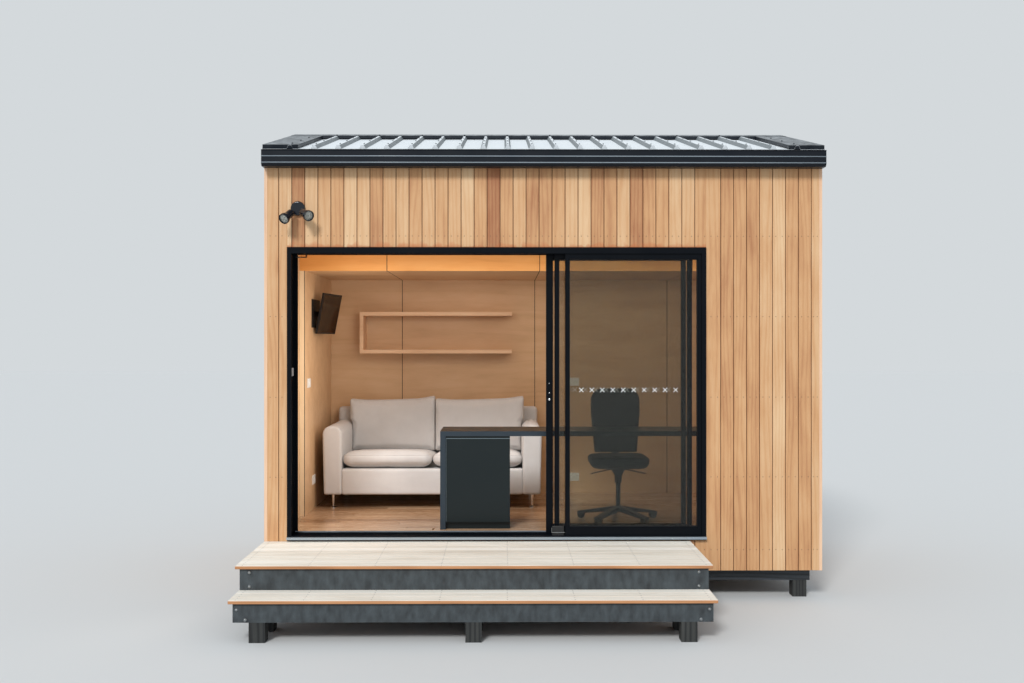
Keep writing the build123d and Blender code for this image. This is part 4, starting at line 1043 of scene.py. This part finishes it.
# %% floor boards
ROW_WIDTH = 0.0866
FLOOR_EDGE = 0.0009
FLOOR_GAP = 0.0006
CUT_MARGIN = 0.3
SHORTEST = 0.02
floor_low, floor_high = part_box("floor_boards")
FLOOR_LEVEL = floor_high.z
rows = np.linspace(floor_low.y, floor_high.y, round((floor_high.y - floor_low.y) / ROW_WIDTH) + 1)
spans = []
for y0, y1 in zip(rows, rows[1:]):
    cuts = np.sort(random.uniform(floor_low.x + CUT_MARGIN, floor_high.x - CUT_MARGIN, 2))
    edges = np.concatenate([[floor_low.x], cuts, [floor_high.x]])
    spans += [((x0 + FLOOR_GAP, y0 + FLOOR_GAP, floor_low.z), (x1 - FLOOR_GAP, y1 - FLOOR_GAP, FLOOR_LEVEL))
              for x0, x1 in zip(edges, edges[1:]) if x1 - x0 > SHORTEST]
room_floor = blocks("room_floor", spans, FLOOR_EDGE, floor_wood, board_tones(len(spans)), slot="floorboards")
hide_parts("floor_boards")
print("floor boards:", len(spans))

# %% [markdown]
# Soft furniture starts from a box with round edges. A point of a cube's surface is scaled to the box,
# pulled back to an inner box that is one radius smaller, and pushed out by the radius. A crown then
# lifts the middle of each face, and falls to nothing at its edges.

# %% rounded boxes
EDGE_CROWDING = 0.35


def cube_grid(cells):
    """Points of a cube's six faces as grids, closer together near the edges, and their faces."""
    points, faces = [], []
    steps = [np.linspace(-1, 1, count + 1) for count in cells]
    steps = [np.sin(t * np.pi / 2) * EDGE_CROWDING + t * (1 - EDGE_CROWDING) for t in steps]
    for k in range(3):
        a, b = [i for i in range(3) if i != k]
        for side in (-1, 1):
            grid = np.full((len(steps[a]), len(steps[b]), 3), float(side))
            grid[..., a] = steps[a][:, None]
            grid[..., b] = steps[b]
            start = sum(map(len, points))
            points.append(grid.reshape(-1, 3))
            faces += [[i + start for i in f] for f in grid_faces(*grid.shape[:2], wrap_columns=False)]
    return np.vstack(points), faces


def soft_box(name, low, high, cell, radius, crown, change):
    """Rounded box: inner box point + radius * outward direction, plus crown * (1 - b^2)(1 - c^2)."""
    low, high = np.asarray(low, float), np.asarray(high, float)
    cube, faces = cube_grid([max(4, int(np.ceil(size / cell))) for size in high - low])
    centre, half = (low + high) / 2, (high - low) / 2
    inner = np.clip(cube * half, radius - half, half - radius)
    away = cube * half - inner
    length = np.linalg.norm(away, axis=1, keepdims=True)
    body = inner + away / np.maximum(length, 1e-9) * np.minimum(length, radius)
    rest = 1 - cube ** 2
    others = np.roll(rest, -1, 1) * np.roll(rest, 1, 1)
    points = centre + body + np.sign(cube) * cube ** 4 * others * crown
    return clean(mesh_from(name, change(points, low, high), faces), weld=True)


print("rounded boxes ready")

# %% [markdown]
# The sofa's frame is padded board under tight cloth: two arms that narrow towards the floor and have
# full round tops, a deep front rail and a low back. They hardly give, so each is a rounded box with a
# slight crown rather than a simulation.

# %% sofa frame
ARM_WIDTH = 0.163
ARM_TAPER = 0.014
ARM_ROUND = 0.070
ARM_EDGE = 0.016
ARM_TOP = 0.690
RAIL_HEIGHT = 0.215
RAIL_INSET = 0.004
RAIL_LAP = 0.002
BACK_THICKNESS = 0.110
BACK_INSET = 0.014
BACK_LAP = 0.01
SOFA_LEG = 0.117
FRAME_CELL = 0.022
sofa_low, sofa_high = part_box("sofa_frame")
arm_level = FLOOR_LEVEL + ARM_TOP
rail_top = sofa_low.z + RAIL_HEIGHT


def unchanged(points, low, high):
    """Leave the points where they are."""
    return points


def upholstered(name, low, high, radius, crown, change=unchanged):
    """A padded frame piece in the sofa's cloth."""
    mesh = soft_box(name, low, high, FRAME_CELL, radius, crown, change)
    piece = link_piece(name, mesh, sofa_cloth, slot="sofa_fabric", smooth=True)
    smooth = piece.modifiers.new("smooth", "SUBSURF")
    smooth.levels = smooth.render_levels = 1
    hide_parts("sofa_frame")


def arm_shape(side):
    """Round the top over and move the outer side inwards towards the foot.

    Above the level where the round begins, the half width h becomes h - R + sqrt(R^2 - z^2).
    """
    def change(points, low, high):
        """Scale the distance from the arm's middle, then add the taper."""
        moved = points.copy()
        x, _, z = points.T
        outer = low[0] if side > 0 else high[0]
        share = np.abs(x - (outer + side * ARM_WIDTH)) / ARM_WIDTH
        fall = np.clip((arm_level - z) / (ARM_TOP - SOFA_LEG), 0, 1)
        rise = np.clip(z - (arm_level - ARM_ROUND), 0, ARM_ROUND)
        kept = ARM_WIDTH / 2 - ARM_ROUND + np.sqrt(ARM_ROUND ** 2 - rise ** 2)
        centre = outer + side * ARM_WIDTH / 2
        moved[:, 0] = centre + (x - centre) * kept / (ARM_WIDTH / 2) + side * ARM_TAPER * share * fall
        return moved
    return change


for word, outer, side in (("left", sofa_low.x, 1), ("right", sofa_high.x, -1)):
    x0, x1 = sorted((outer, outer + side * ARM_WIDTH))
    upholstered(f"sofa_{word}_arm", (x0, sofa_low.y, sofa_low.z), (x1, sofa_high.y, arm_level), ARM_EDGE,
                (0.002, 0.004, 0.0), arm_shape(side))
upholstered("sofa_rail", (sofa_low.x + ARM_WIDTH - RAIL_LAP, sofa_low.y + RAIL_INSET, sofa_low.z),
            (sofa_high.x - ARM_WIDTH + RAIL_LAP, sofa_high.y, rail_top), 0.014, (0, 0.004, 0))
upholstered("sofa_back", (sofa_low.x + BACK_INSET, sofa_high.y - BACK_THICKNESS, rail_top - BACK_LAP),
            (sofa_high.x - BACK_INSET, sofa_high.y, sofa_high.z), 0.036, (0, 0.004, 0.003))
print("sofa frame: two arms, a rail and a back")

# %% [markdown]
# A cushion is cloth round something springy, so it is left to the cloth simulation: a soft box is
# remeshed into even little faces, air pressure swells it, and each point's movement is capped, so that
# the cushion stays in its place.

# %% cushion simulation
VOXEL = 0.0105
FRAMES = 20


def evaluated(piece):
    """Mesh of a piece with its modifiers worked out."""
    graph = bpy.context.evaluated_depsgraph_get()
    return bpy.data.meshes.new_from_object(piece.evaluated_get(graph))


def coordinates(mesh):
    """All points of a mesh as an array."""
    flat = np.empty(len(mesh.vertices) * 3)
    mesh.vertices.foreach_get("co", flat)
    return flat.reshape(-1, 3)


def set_coordinates(mesh, points):
    """Move all points of a mesh."""
    mesh.vertices.foreach_set("co", points.ravel())
    mesh.update()


def swell(work, pressure, cap):
    """Points of a piece after cloth under pressure without gravity, with each movement capped."""
    start = coordinates(work.data)
    cloth = work.modifiers.new("cloth", "CLOTH")
    settings = cloth.settings
    settings.use_pressure = True
    settings.uniform_pressure_force = pressure
    settings.effector_weights.gravity = 0
    settings.quality = 4
    settings.tension_stiffness = settings.compression_stiffness = 12
    settings.bending_stiffness = 0.4
    cloth.point_cache.frame_end = FRAMES
    for step in range(1, FRAMES + 1):
        bpy.context.scene.frame_set(step)
    move = coordinates(evaluated(work)) - start
    length = np.linalg.norm(move, axis=1, keepdims=True)
    work.modifiers.clear()
    bpy.context.scene.frame_set(1)
    return start + move * np.minimum(1, cap / np.maximum(length, 1e-9))


def inflate(mesh, voxel, pressure, cap, soften):
    """Even remesh, swollen by cloth, with the remesh's steps softened."""
    work = link(bpy.data.objects.new("work", mesh))
    remesh = work.modifiers.new("remesh", "REMESH")
    remesh.mode = "VOXEL"
    remesh.voxel_size = voxel
    even = evaluated(work)
    work.modifiers.clear()
    work.data = even
    set_coordinates(even, swell(work, pressure, cap))
    bpy.data.objects.remove(work)
    return clean(even, soften=soften)


print("simulation of", FRAMES, "frames ready, quick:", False)

# %% [markdown]
# Seat cushions are fuller in front, and their tops fall towards the back, as a comfortable seat's do.
# Back cushions reach down behind them and are drawn in between the arms. Each of these shapes is a
# small function that moves points, with u, v and w from -1 to 1 across the cushion.

# %% cushion shapes
SEAT_LIFT = 0.014
SEAT_WAIST = 0.006
BACK_RISE = 0.024
BACK_LEAN = 0.012
PITCH_FRONT = 0.90
PITCH_REAR = 0.58
PRESS = 1.06
PRESS_START = 0.96
SHOULDER = 0.022
SHOULDER_LEVEL = arm_level + 0.006
seat_low, seat_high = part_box("sofa_seat_cushions")
back_low, back_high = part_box("sofa_back_cushions")


def seat_shape(points, low, high):
    """Lift the middle, and pull the sides in between the corners."""
    u, v, w = ((points - low) / (high - low)).T * 2 - 1
    lift = np.clip(w, 0, 1) * SEAT_LIFT * (1 - u ** 2) * (1 - 0.5 * v ** 2)
    return points + np.stack([-u * SEAT_WAIST * (1 - np.abs(v)) * np.abs(w), 0 * u, lift], -1)


def back_shape(points, low, high):
    """Let the top edge rise towards the right end, and lean its front back a little."""
    u, v, w = ((points - low) / (high - low)).T * 2 - 1
    upper = np.clip(w, 0, 1)
    lean = np.clip(-v, 0, 1) * BACK_LEAN * upper ** 3
    return points + np.stack([0 * u, lean, upper ** 2 * BACK_RISE * ((u + 1) / 2) ** 2], -1)


def shoulder_shape(inner, outer):
    """Press both ends flat, and draw the outer one in where the cushion stands between the arms.

    u is the share of the half width; beyond a start s it becomes 1 - (1 - s) * exp(-(u - s) / (1 - s)).
    """
    def change(points):
        """Limit the distance from the cushion's middle, then draw its outer end in."""
        moved = points.copy()
        centre, half = (inner + outer) / 2, abs(outer - inner) / 2
        u = (points[:, 0] - centre) / half
        size = np.abs(u) * PRESS
        room = 1 - PRESS_START
        limited = np.where(size < PRESS_START, size, 1 - room * np.exp(-(size - PRESS_START) / room))
        x = centre + half * np.sign(u) * limited
        above = np.clip((points[:, 2] - SHOULDER_LEVEL) / SHOULDER + 0.5, 0, 1)
        share = (x - inner) / (outer - inner)
        moved[:, 0] = x - np.sign(outer - inner) * SHOULDER * share ** 2 * (1 - above)
        return moved
    return change


def pitch_shape(points):
    """Lower a seat's top towards the back: its height is scaled by a share that falls with the depth."""
    depth = np.clip((points[:, 1] - seat_low.y) / (back_low.y - seat_low.y), 0, 1)
    share = PITCH_FRONT + (PITCH_REAR - PITCH_FRONT) * depth
    level = seat_low.z + (points[:, 2] - seat_low.z) * share
    return np.column_stack([points[:, :2], level])


print("a seat's top falls to", PITCH_REAR, "of its height")

# %% [markdown]
# A cushion starts a little smaller than its place, swells, and is stretched to fill the place exactly.
# Two stand side by side on the seat and two at the back, with a narrow gap between them.

# %% sofa cushions
SHRINK = 0.010
CUSHION_CAP = 0.024
CUSHION_CELL = 0.03
CUSHION_PRESSURE = 4.0
CUSHION_GAP = 0.004
BACK_SPLIT = -0.016
SEAT_SINK = 0.022


def fill_box(points, low, high):
    """Stretch points a little so that they fill a box exactly."""
    start, end = points.min(0), points.max(0)
    return low + (points - start) / (end - start) * (high - low)


def soft_piece(name, mesh, material, slot, node):
    """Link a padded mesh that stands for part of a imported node."""
    piece = link_piece(name, mesh, material, slot=slot, smooth=True)
    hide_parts(node)
    return piece


def cushion(name, low, high, radius, crown, change, node, finish):
    """One simulated cushion: a soft box, swollen, stretched to its place and given its last shape."""
    low, high = np.array(low) + SHRINK, np.array(high) - SHRINK
    mesh = soft_box(name, low, high, CUSHION_CELL, radius, crown, change)
    mesh = inflate(mesh, VOXEL, CUSHION_PRESSURE, CUSHION_CAP, 2)
    set_coordinates(mesh, finish(fill_box(coordinates(mesh), low - SHRINK, high + SHRINK)))
    return soft_piece(name, mesh, sofa_cloth, "sofa_fabric", node)


back_foot = back_low.z - (seat_high.z - seat_low.z) * (1 - PITCH_REAR) - SEAT_SINK
cushions = []
for kind, low, high, foot, split, change, radius, crown, fill in (
        ("seat", seat_low, seat_high, seat_low.z, 0, seat_shape, 0.070, (0.002, 0.008, 0.006), 0.75),
        ("back", back_low, back_high, back_foot, BACK_SPLIT, back_shape, 0.026, (0.0, 0.010, 0.002), 0.65)):
    middle = (low.x + high.x) / 2 + split
    for word, side, outer in (("left", -1, low.x), ("right", 1, high.x)):
        inner = middle + side * CUSHION_GAP / 2
        x0, x1 = sorted((inner, outer))
        finish = shoulder_shape(inner, outer) if kind == "back" else pitch_shape
        cushions.append(cushion(
            f"{kind}_cushion_{word}", (x0, low.y, foot), (x1, high.y, high.z), radius, crown, change,
            f"sofa_{kind}_cushions", finish))
print("cushions:", [len(c.data.polygons) for c in cushions])

# %% [markdown]
# A box cushion is sewn from a top, a bottom and a strip round its side. The seams are thin cords that
# lie in the surface: rays from outside at one level find the cloth, and a slim tube follows them.

# %% cushion seams
SEAM_RADIUS = 0.0022
SEAM_POINTS = 120
SEAM_SQUARENESS = 0.4
RAY_START = 1.6


def seam_path(piece, axis, level):
    """Loop round a closed piece where a plane square to an axis meets it."""
    points = coordinates(piece.data)
    tree = BVHTree.FromPolygons(points.tolist(), [tuple(p.vertices) for p in piece.data.polygons])
    low, high = points.min(0), points.max(0)
    centre = (low + high) / 2
    centre[axis] = level
    t = np.linspace(0, 2 * np.pi, SEAM_POINTS, endpoint=False)
    around = np.insert(np.column_stack([np.cos(t), np.sin(t)]), axis, 0, axis=1)
    away = np.sign(around) * np.abs(around) ** SEAM_SQUARENESS * (high - low) / 2
    hits = [tree.ray_cast(Vector(centre + ray * RAY_START), Vector(-ray))[0] for ray in away]
    return np.array([hit for hit in hits if hit is not None])


for piece in cushions:
    axis, shares = (2, (0.25, 0.75)) if piece.name.startswith("seat") else (1, (0.22, 0.78))
    extent = coordinates(piece.data)[:, axis]
    for number, share in enumerate(shares, 1):
        path = seam_path(piece, axis, extent.min() + (extent.max() - extent.min()) * share)
        tube(f"{piece.name}_seam_{number}", path, SEAM_RADIUS, piping_cloth, closed=True, around=6,
             slot="sofa_fabric")
print("seams laid on", len(cushions), "cushions")

# %% [markdown]
# The office chair is dark cloth on moulded foam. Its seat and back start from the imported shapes, which
# already have the right outline; remeshed and lightly swollen, they lose the look of a cut block.

# %% chair pads
CHAIR_VOXEL = 0.0075
CHAIR_CAP = 0.004
CHAIR_PRESSURE = 2.0
CHAIR_SEAM = 0.0028
SEAM_SHARE = 0.62


def pad_from(node):
    """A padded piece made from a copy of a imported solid."""
    name = node + "_pad"
    copy = nodes[node].data.copy()
    copy.name = name
    mesh = inflate(clean(copy, weld=True), CHAIR_VOXEL, CHAIR_PRESSURE, CHAIR_CAP, 3)
    mesh.materials.clear()
    return soft_piece(name, mesh, chair_cloth, "chair_upholstery", node)


chair_seat, chair_back = pad_from("chair_seat"), pad_from("chair_back")
low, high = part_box("chair_seat")
path = seam_path(chair_seat, 2, low.z + (high.z - low.z) * SEAM_SHARE)
tube("chair_seat_seam", path, CHAIR_SEAM, chair_cloth, closed=True, around=6, slot="chair_upholstery")
print("chair pads:", len(chair_seat.data.polygons), len(chair_back.data.polygons))

# %% [markdown]
# Window panes sit in the frames behind black rubber seals, thin strips along all four sides on both
# faces of the glass. The visible width of a seal is small, but it draws the dark line round a pane.

# %% glazing seals
SEAL_FACE = 0.005
SEAL_REACH = 0.0035
SEAL_EDGE = 0.0008
STILE = 0.030
LOCK_STILE = 0.046
TOP_RAIL = 0.054
BOTTOM_RAIL = 0.064
for leaf, glass, left_stile, body, name in (
        ("fixed_panel", "fixed_glass", STILE, "root", "fixed_seals"),
        ("middle_leaf", "middle_glass", STILE, "middle_leaf", "middle_leaf_seals"),
        ("inner_leaf", "inner_glass", LOCK_STILE, "inner_leaf", "inner_leaf_seals")):
    low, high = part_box(leaf)
    x0, x1 = low.x + left_stile, high.x - STILE
    z0, z1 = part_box("fixed_panel")[0].z + BOTTOM_RAIL, high.z - TOP_RAIL
    spans = []
    for y, reach in ((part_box(glass)[0].y, -SEAL_REACH), (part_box(glass)[1].y, SEAL_REACH)):
        y0, y1 = sorted((y, y + reach))
        spans += [((x0, y0, z0), (x0 + SEAL_FACE, y1, z1)), ((x1 - SEAL_FACE, y0, z0), (x1, y1, z1)),
                  ((x0, y0, z0), (x1, y1, z0 + SEAL_FACE)), ((x0, y0, z1 - SEAL_FACE), (x1, y1, z1))]
    blocks(name, spans, SEAL_EDGE, rubber, body=body, slot="black_plastic")
print("seals on three panes")

# %% [markdown]
# A row of small white crosses at eye height keeps people from walking into the glass. Each cross is
# two short bars that meet at right angles, cut from film a third of a millimetre thick. One pair,
# turned by 45 degrees, is repeated along the pane.

# %% glass crosses
CROSS_COUNT = 10
CROSS_PITCH = 0.0757
CROSS_SIZE = 0.031
CROSS_BAR = 0.0042
THIN_BAR = 0.0028
CROSS_LEVEL = 1.511
FILM = 0.0003
FILM_GAP = 0.0001


def crosses(name, middle, face, body, bar, material):
    """A row of crosses on the front of a pane: bars turned by plus and minus 45 degrees."""
    half, bar = CROSS_SIZE / 2 * np.sqrt(2), bar / 2
    pair = block_points([(-half, -FILM, -bar), (-half, -FILM * 1.1, -bar)], [(half, 0, bar)] * 2, FILM / 4)
    c = np.sqrt(0.5)
    turns = np.array([[[c, 0, c], [0, 1, 0], [-c, 0, c]], [[c, 0, -c], [0, 1, 0], [c, 0, c]]])
    bars = np.einsum("nij,nkj->nki", turns, pair)
    places = middle + (np.arange(CROSS_COUNT) - (CROSS_COUNT - 1) / 2) * CROSS_PITCH
    centres = np.array([(x, face, CROSS_LEVEL) for x in places])
    link_piece(name, block_mesh(name, centres[:, None, None] + bars), material, body=body)


for name, glass, body, centre, bar, material in (
        ("fixed_crosses", "fixed_glass", "root", 0.612, CROSS_BAR, mark_white),
        ("middle_crosses", "middle_glass", "middle_leaf", 0.5685, THIN_BAR, mark_painted_shade),
        ("inner_crosses", "inner_glass", "inner_leaf", 0.5461, THIN_BAR, mark_painted_shade)):
    crosses(name, centre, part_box(glass)[0].y - FILM_GAP, body, bar, material)
print("crosses:", CROSS_COUNT, "on each pane")

# %% [markdown]
# The latch plate on the leading stile has two screws and a round key cylinder. The spotlight's lenses
# are shallow domes inside the bezels: the front ring of each packed head lies furthest along its aim.

# %% latch and lenses
CYLINDER = [(0.0085, -0.002), (0.0085, 0.0024), (0.0070, 0.0034), (0.0035, 0.0034), (0.0030, 0.0016)]
LATCH_SCREW = [(0.0038, -0.001), (0.0038, 0.0006), (0.0024, 0.0011), (0.0010, 0.0005)]
CYLINDER_LEVEL = 1.440
SCREW_LEVELS = (1.556, 1.485)
LENS_RADIUS = 0.0345
LENS_DEPTH = 0.009
LENS_RISE = 0.0052
RIM_DEPTH = 0.0005
plate_low, plate_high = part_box("inner_handle")
plate_x = (plate_low.x + plate_high.x) / 2
for name, profile, levels, around in (
        ("latch_cylinder", CYLINDER, [CYLINDER_LEVEL], 20), ("latch_screws", LATCH_SCREW, SCREW_LEVELS, 14)):
    places = [(plate_x, plate_low.y, level) for level in levels]
    turned(name, profile, places, (0, -1, 0), chrome, around=around, body="inner_leaf", slot="chrome")
dome = [(LENS_RADIUS, -RIM_DEPTH)]
dome += [(r, LENS_RISE * (1 - (r / LENS_RADIUS) ** 2) + 0.0002) for r in np.linspace(LENS_RADIUS, 0.002, 9)]
for node, aim in (("light_head_left", (-0.39, -0.76, -0.52)), ("light_head_right", (0.57, -0.75, -0.33))):
    aim = unit(aim)
    points = coordinates(nodes[node].data)
    along = points @ aim
    middle = points[along > along.max() - RIM_DEPTH].mean(0) - aim * LENS_DEPTH
    name = node.replace("head", "lens")
    turned(name, dome, [middle], aim, lamp_lens, around=32, body=node, slot="door_glass")
print("latch at x", round(plate_x, 3), "lens radius", LENS_RADIUS)

# %% [markdown]
# Small things on the walls make a room believable: a switch and a low power point on the left wall,
# and two power points on the rear wall. Each is a plate with soft edges and a rocker, made of two
# blocks, and the slots for the pins are dark strips, a hair thick, on the plate's face.

# %% switch and power points
PLATE = (0.117, 0.009, 0.074)
ROCKER = (0.014, 0.012, 0.026)
PLATE_EDGE = 0.0018
SLOT_HALF_DEPTH = 0.0003
liner_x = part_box("lining_left")[1].x
rear_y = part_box("lining_rear")[0].y
SWITCH_PLACE = (liner_x, FRONT_Y + 1.045, 1.524)
LOW_PLACE = (liner_x, FRONT_Y + 1.280, 0.712)
POINTS = ((0.35, 1.49), (0.35, 0.615))
SOCKET_SHIFT = 0.034
PIN_HALF = 0.0011
PINS = ((-0.007, 0.006, 0.007), (0.007, 0.006, 0.007), (0.0, -0.010, 0.008))


def wall_plate(name, place, out):
    """Plate with a rocker: out is the direction the plate looks, along X or Y."""
    spans = []
    for wide, depth, tall in (PLATE, ROCKER):
        half = np.array((wide * abs(out[1]), wide * abs(out[0]), tall)) / 2
        front = np.array(place) + np.array((*out, 0)) * depth
        spans.append((np.minimum(place, front) - half, np.maximum(place, front) + half))
    blocks(name, spans, PLATE_EDGE, white_plastic)


wall_plate("light_switch", SWITCH_PLACE, (1, 0))
wall_plate("low_point", LOW_PLACE, (1, 0))
for number, (x, z) in enumerate(POINTS, 1):
    wall_plate(f"power_point_{number}", (x, rear_y, z), (0, -1))
    spans = []
    for side, (dx, dz, tall) in itertools.product((-1, 1), PINS):
        centre = np.array([x + side * SOCKET_SHIFT + dx, rear_y - PLATE[1] - 0.0002, z + dz])
        half = (PIN_HALF, SLOT_HALF_DEPTH, tall / 2)
        spans.append((centre - half, centre + half))
    blocks(f"power_slots_{number}", spans, 0.0002, rubber)
print("wall plates:", 2 + len(POINTS))

# %% [markdown]
# A few parts that the photograph shows as small marks complete the door: a guide block in the outer
# track where the leaves meet, a plate under it, and a small bracket in the head's left corner. They
# stand in the outer track, where no leaf runs. A cover strip stands behind the jamb that the door
# closes on, narrow enough to miss the handle's feet. A lip ends the sill towards the room, and the
# lock's keeper is a small plate.

# %% door parts
HEAD_FACE = 0.045
JAMB = 0.031
COVER_REACH = 0.018
head_low, head_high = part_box("door_head")
track_front, track_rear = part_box("fixed_panel")[0].y + 0.003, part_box("fixed_panel")[1].y - 0.003
track_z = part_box("door_subsill")[1].z
jamb_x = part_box("door_jambs")[0].x
jamb_face = jamb_x + JAMB
frame_front, frame_rear = head_low.y, head_high.y
corner_x, corner_z = head_low.x + 0.057, head_high.z - HEAD_FACE
keeper_paint = skin_finish("keeper_paint", (120, 124, 128), 0.5, dust_and_reflection=0.2)
for name, edge, material, slot, spans in (
        ("sill_guide", 0.004, rubber, "black_plastic", [
            ((0.060, track_front + 0.004, track_z), (0.148, track_rear, track_z + 0.072))]),
        ("sill_guide_plate", 0.0006, screw_metal, "bare_metal", [
            ((0.056, track_front, track_z + 0.026), (0.152, track_front + 0.003, track_z + 0.030)),
            ((0.056, track_front, track_z + 0.030), (0.059, track_front + 0.003, track_z + 0.062))]),
        ("head_bracket", 0.001, frame_coat, "door_frame", [
            ((corner_x, track_front, corner_z - 0.029), (corner_x + 0.080, track_rear, corner_z - 0.023)),
            ((corner_x + 0.074, track_front, corner_z - 0.029), (corner_x + 0.080, track_rear, corner_z))]),
        ("closing_cover", 0.001, frame_coat, "door_frame", [
            ((jamb_x, frame_rear, FLOOR_LEVEL), (jamb_face + COVER_REACH, frame_rear + 0.013, corner_z))]),
        ("sill_lip", 0.0008, bare_metal, "bare_metal", [
            ((jamb_face, frame_rear - 0.005, FLOOR_LEVEL - 0.004),
             (head_high.x - JAMB, frame_rear - 0.0005, FLOOR_LEVEL + 0.009))]),
        ("lock_keeper", 0.0005, keeper_paint, "bare_metal", [
            ((jamb_face, frame_front + 0.016, 1.612), (jamb_face + 0.0014, frame_front + 0.084, 1.670))])):
    blocks(name, spans, edge, material, slot=slot)

# %% [markdown]
# Cut edges of sheets are covered: the side liners' front ends have a pale solid lipping, and beside
# it a dark strip that is painted shade of the groove there, and the desk's front edges a band that is
# lighter than its faces. A thin bright line round the cupboard's door is a painted highlight on the
# door's edge.

# %% lippings and edge bands
LIPPING_RISE = 0.0008
LIPPING_GROOVE = 0.005
SHEET_DEPTH = 0.012
PEDESTAL_SIDE = 0.040
BAND = 0.0009
DOOR_SETBACK = 0.012
LINE_RISE = 0.0015
start_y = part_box("ceiling_bulkhead")[0].y
sheet_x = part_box("lining_left")[0].x + SHEET_DEPTH
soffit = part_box("lining_rear")[1].z
groove_x = LIPPING_GROOVE - liner_x
for name, inner, outer, edge, material, slot in (
        ("liner_lipping", groove_x, -sheet_x, 0.0003, lipping, "plywood"),
        # The dark strip beside the lipping is painted shade of the groove.
        ("liner_groove_painted_shade", -liner_x, groove_x, 0.0002, membrane, "wall_frame")):
    ends = [sorted((side * inner, side * outer)) for side in (-1, 1)]
    spans = [((a, start_y - LIPPING_RISE, FLOOR_LEVEL), (b, start_y, soffit)) for a, b in ends]
    blocks(name, spans, edge, material, slot=slot)
desk_low, desk_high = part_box("desk_top")
pedestal_low, pedestal_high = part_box("desk_pedestal")
door_x, desk_y = desk_low.x + PEDESTAL_SIDE, desk_low.y
line_y = desk_y + DOOR_SETBACK
blocks("desk_bands", [
    ((desk_low.x, desk_y - BAND, desk_low.z), (desk_high.x, desk_y, desk_high.z)),
    ((desk_low.x, desk_y - BAND, pedestal_low.z), (door_x, desk_y, desk_low.z))], 0.0004, desk_edge,
    slot="desk_laminate")
# The pale line round the door is a painted highlight on the door's edge.
line_x, line_z = door_x + 0.002, desk_low.z - 0.020
blocks("desk_door_painted_highlight", [
    ((line_x, line_y - LINE_RISE, line_z), (pedestal_high.x - 0.001, line_y, line_z + 0.004)),
    ((line_x, line_y - LINE_RISE, pedestal_low.z + 0.058), (line_x + 0.003, line_y, line_z))],
    0.0005, desk_painted_highlight, slot="bare_metal")
print("lippings, grooves, bands and the line round the cupboard's door")

# %% [markdown]
# Between two sheets a shadow joint shows dark, because a black strip is fixed behind it. Such strips
# stand behind the joints of the upright sheets over the room and of the low ceiling, and a slim one
# fills each joint to the face of the sheets.

# %% joint strips
STRIP_HALF = 0.022
STRIP = 0.002
JOINT_HALF = 0.0028
JOINT_RISE = 0.0004
SHEET_JOINTS = (-1.22, 0.0, 1.22)
bulk_low, bulk_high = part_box("ceiling_bulkhead")
over_soffit = soffit + SHEET_DEPTH
spans = [
    ((x - half, y0, z0), (x + half, y1, z1))
    for half, y0, z0, y1, z1 in (
        (STRIP_HALF, bulk_high.y, bulk_low.z, bulk_high.y + STRIP, bulk_high.z),
        (STRIP_HALF, bulk_high.y + STRIP, over_soffit, rear_y, over_soffit + STRIP),
        (JOINT_HALF, bulk_low.y - JOINT_RISE, bulk_low.z, bulk_low.y, bulk_high.z),
        (JOINT_HALF, rear_y - JOINT_RISE, FLOOR_LEVEL, rear_y, soffit),
        (JOINT_HALF, bulk_low.y, soffit - JOINT_RISE, rear_y, soffit))
    for x in SHEET_JOINTS]
blocks("joint_strips", spans, 0.0001, membrane, slot="wall_frame")
print("joint strips:", len(spans))

# %% [markdown]
# The wall screen's face is dark glass in a shallow recess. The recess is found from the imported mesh:
# of the faces that look the same slanted way, those that lie deepest are its floor.

# %% screen face
SCREEN_GLASS = 0.0009
SCREEN_SHARE = 0.998
SCREEN_BEVEL = 0.999
CORNER_REACH = 0.002
polygons = nodes["wall_screen"].data.polygons
aims = np.array([p.normal for p in polygons])
areas = np.array([p.area for p in polygons])
slanted = (aims[:, 0] > 0.9) & (aims[:, 0] < 0.999)
aim = aims[slanted][np.argmax(areas[slanted])]
depths = np.array([np.array(p.center) @ aim for p in polygons])
same_way = aims @ aim > 0.9999
depths -= depths[same_way].max()
recess = same_way & (depths < -0.001) & (depths > -0.003)
ids = sorted({v for i in np.flatnonzero(recess) for v in polygons[i].vertices})
rim = coordinates(nodes["wall_screen"].data)[ids]
middle = rim.mean(0)
reach = np.linalg.norm(rim - middle, axis=1)
corners = rim[reach > reach.max() - CORNER_REACH] - middle
u = np.cross((0, 0, 1), aim)
corners = corners[np.argsort(np.arctan2(corners @ np.cross(aim, u), corners @ u))] * SCREEN_SHARE
points = [middle + corners, middle + corners * SCREEN_BEVEL + aim * SCREEN_GLASS]
count = len(corners)
faces = grid_faces(2, count) + [range(count)[::-1], range(count, count * 2)]
link_piece("screen_face", clean(mesh_from("screen_face", points, faces)), screen_glass, slot="black_plastic")
print("screen face corners:", count)
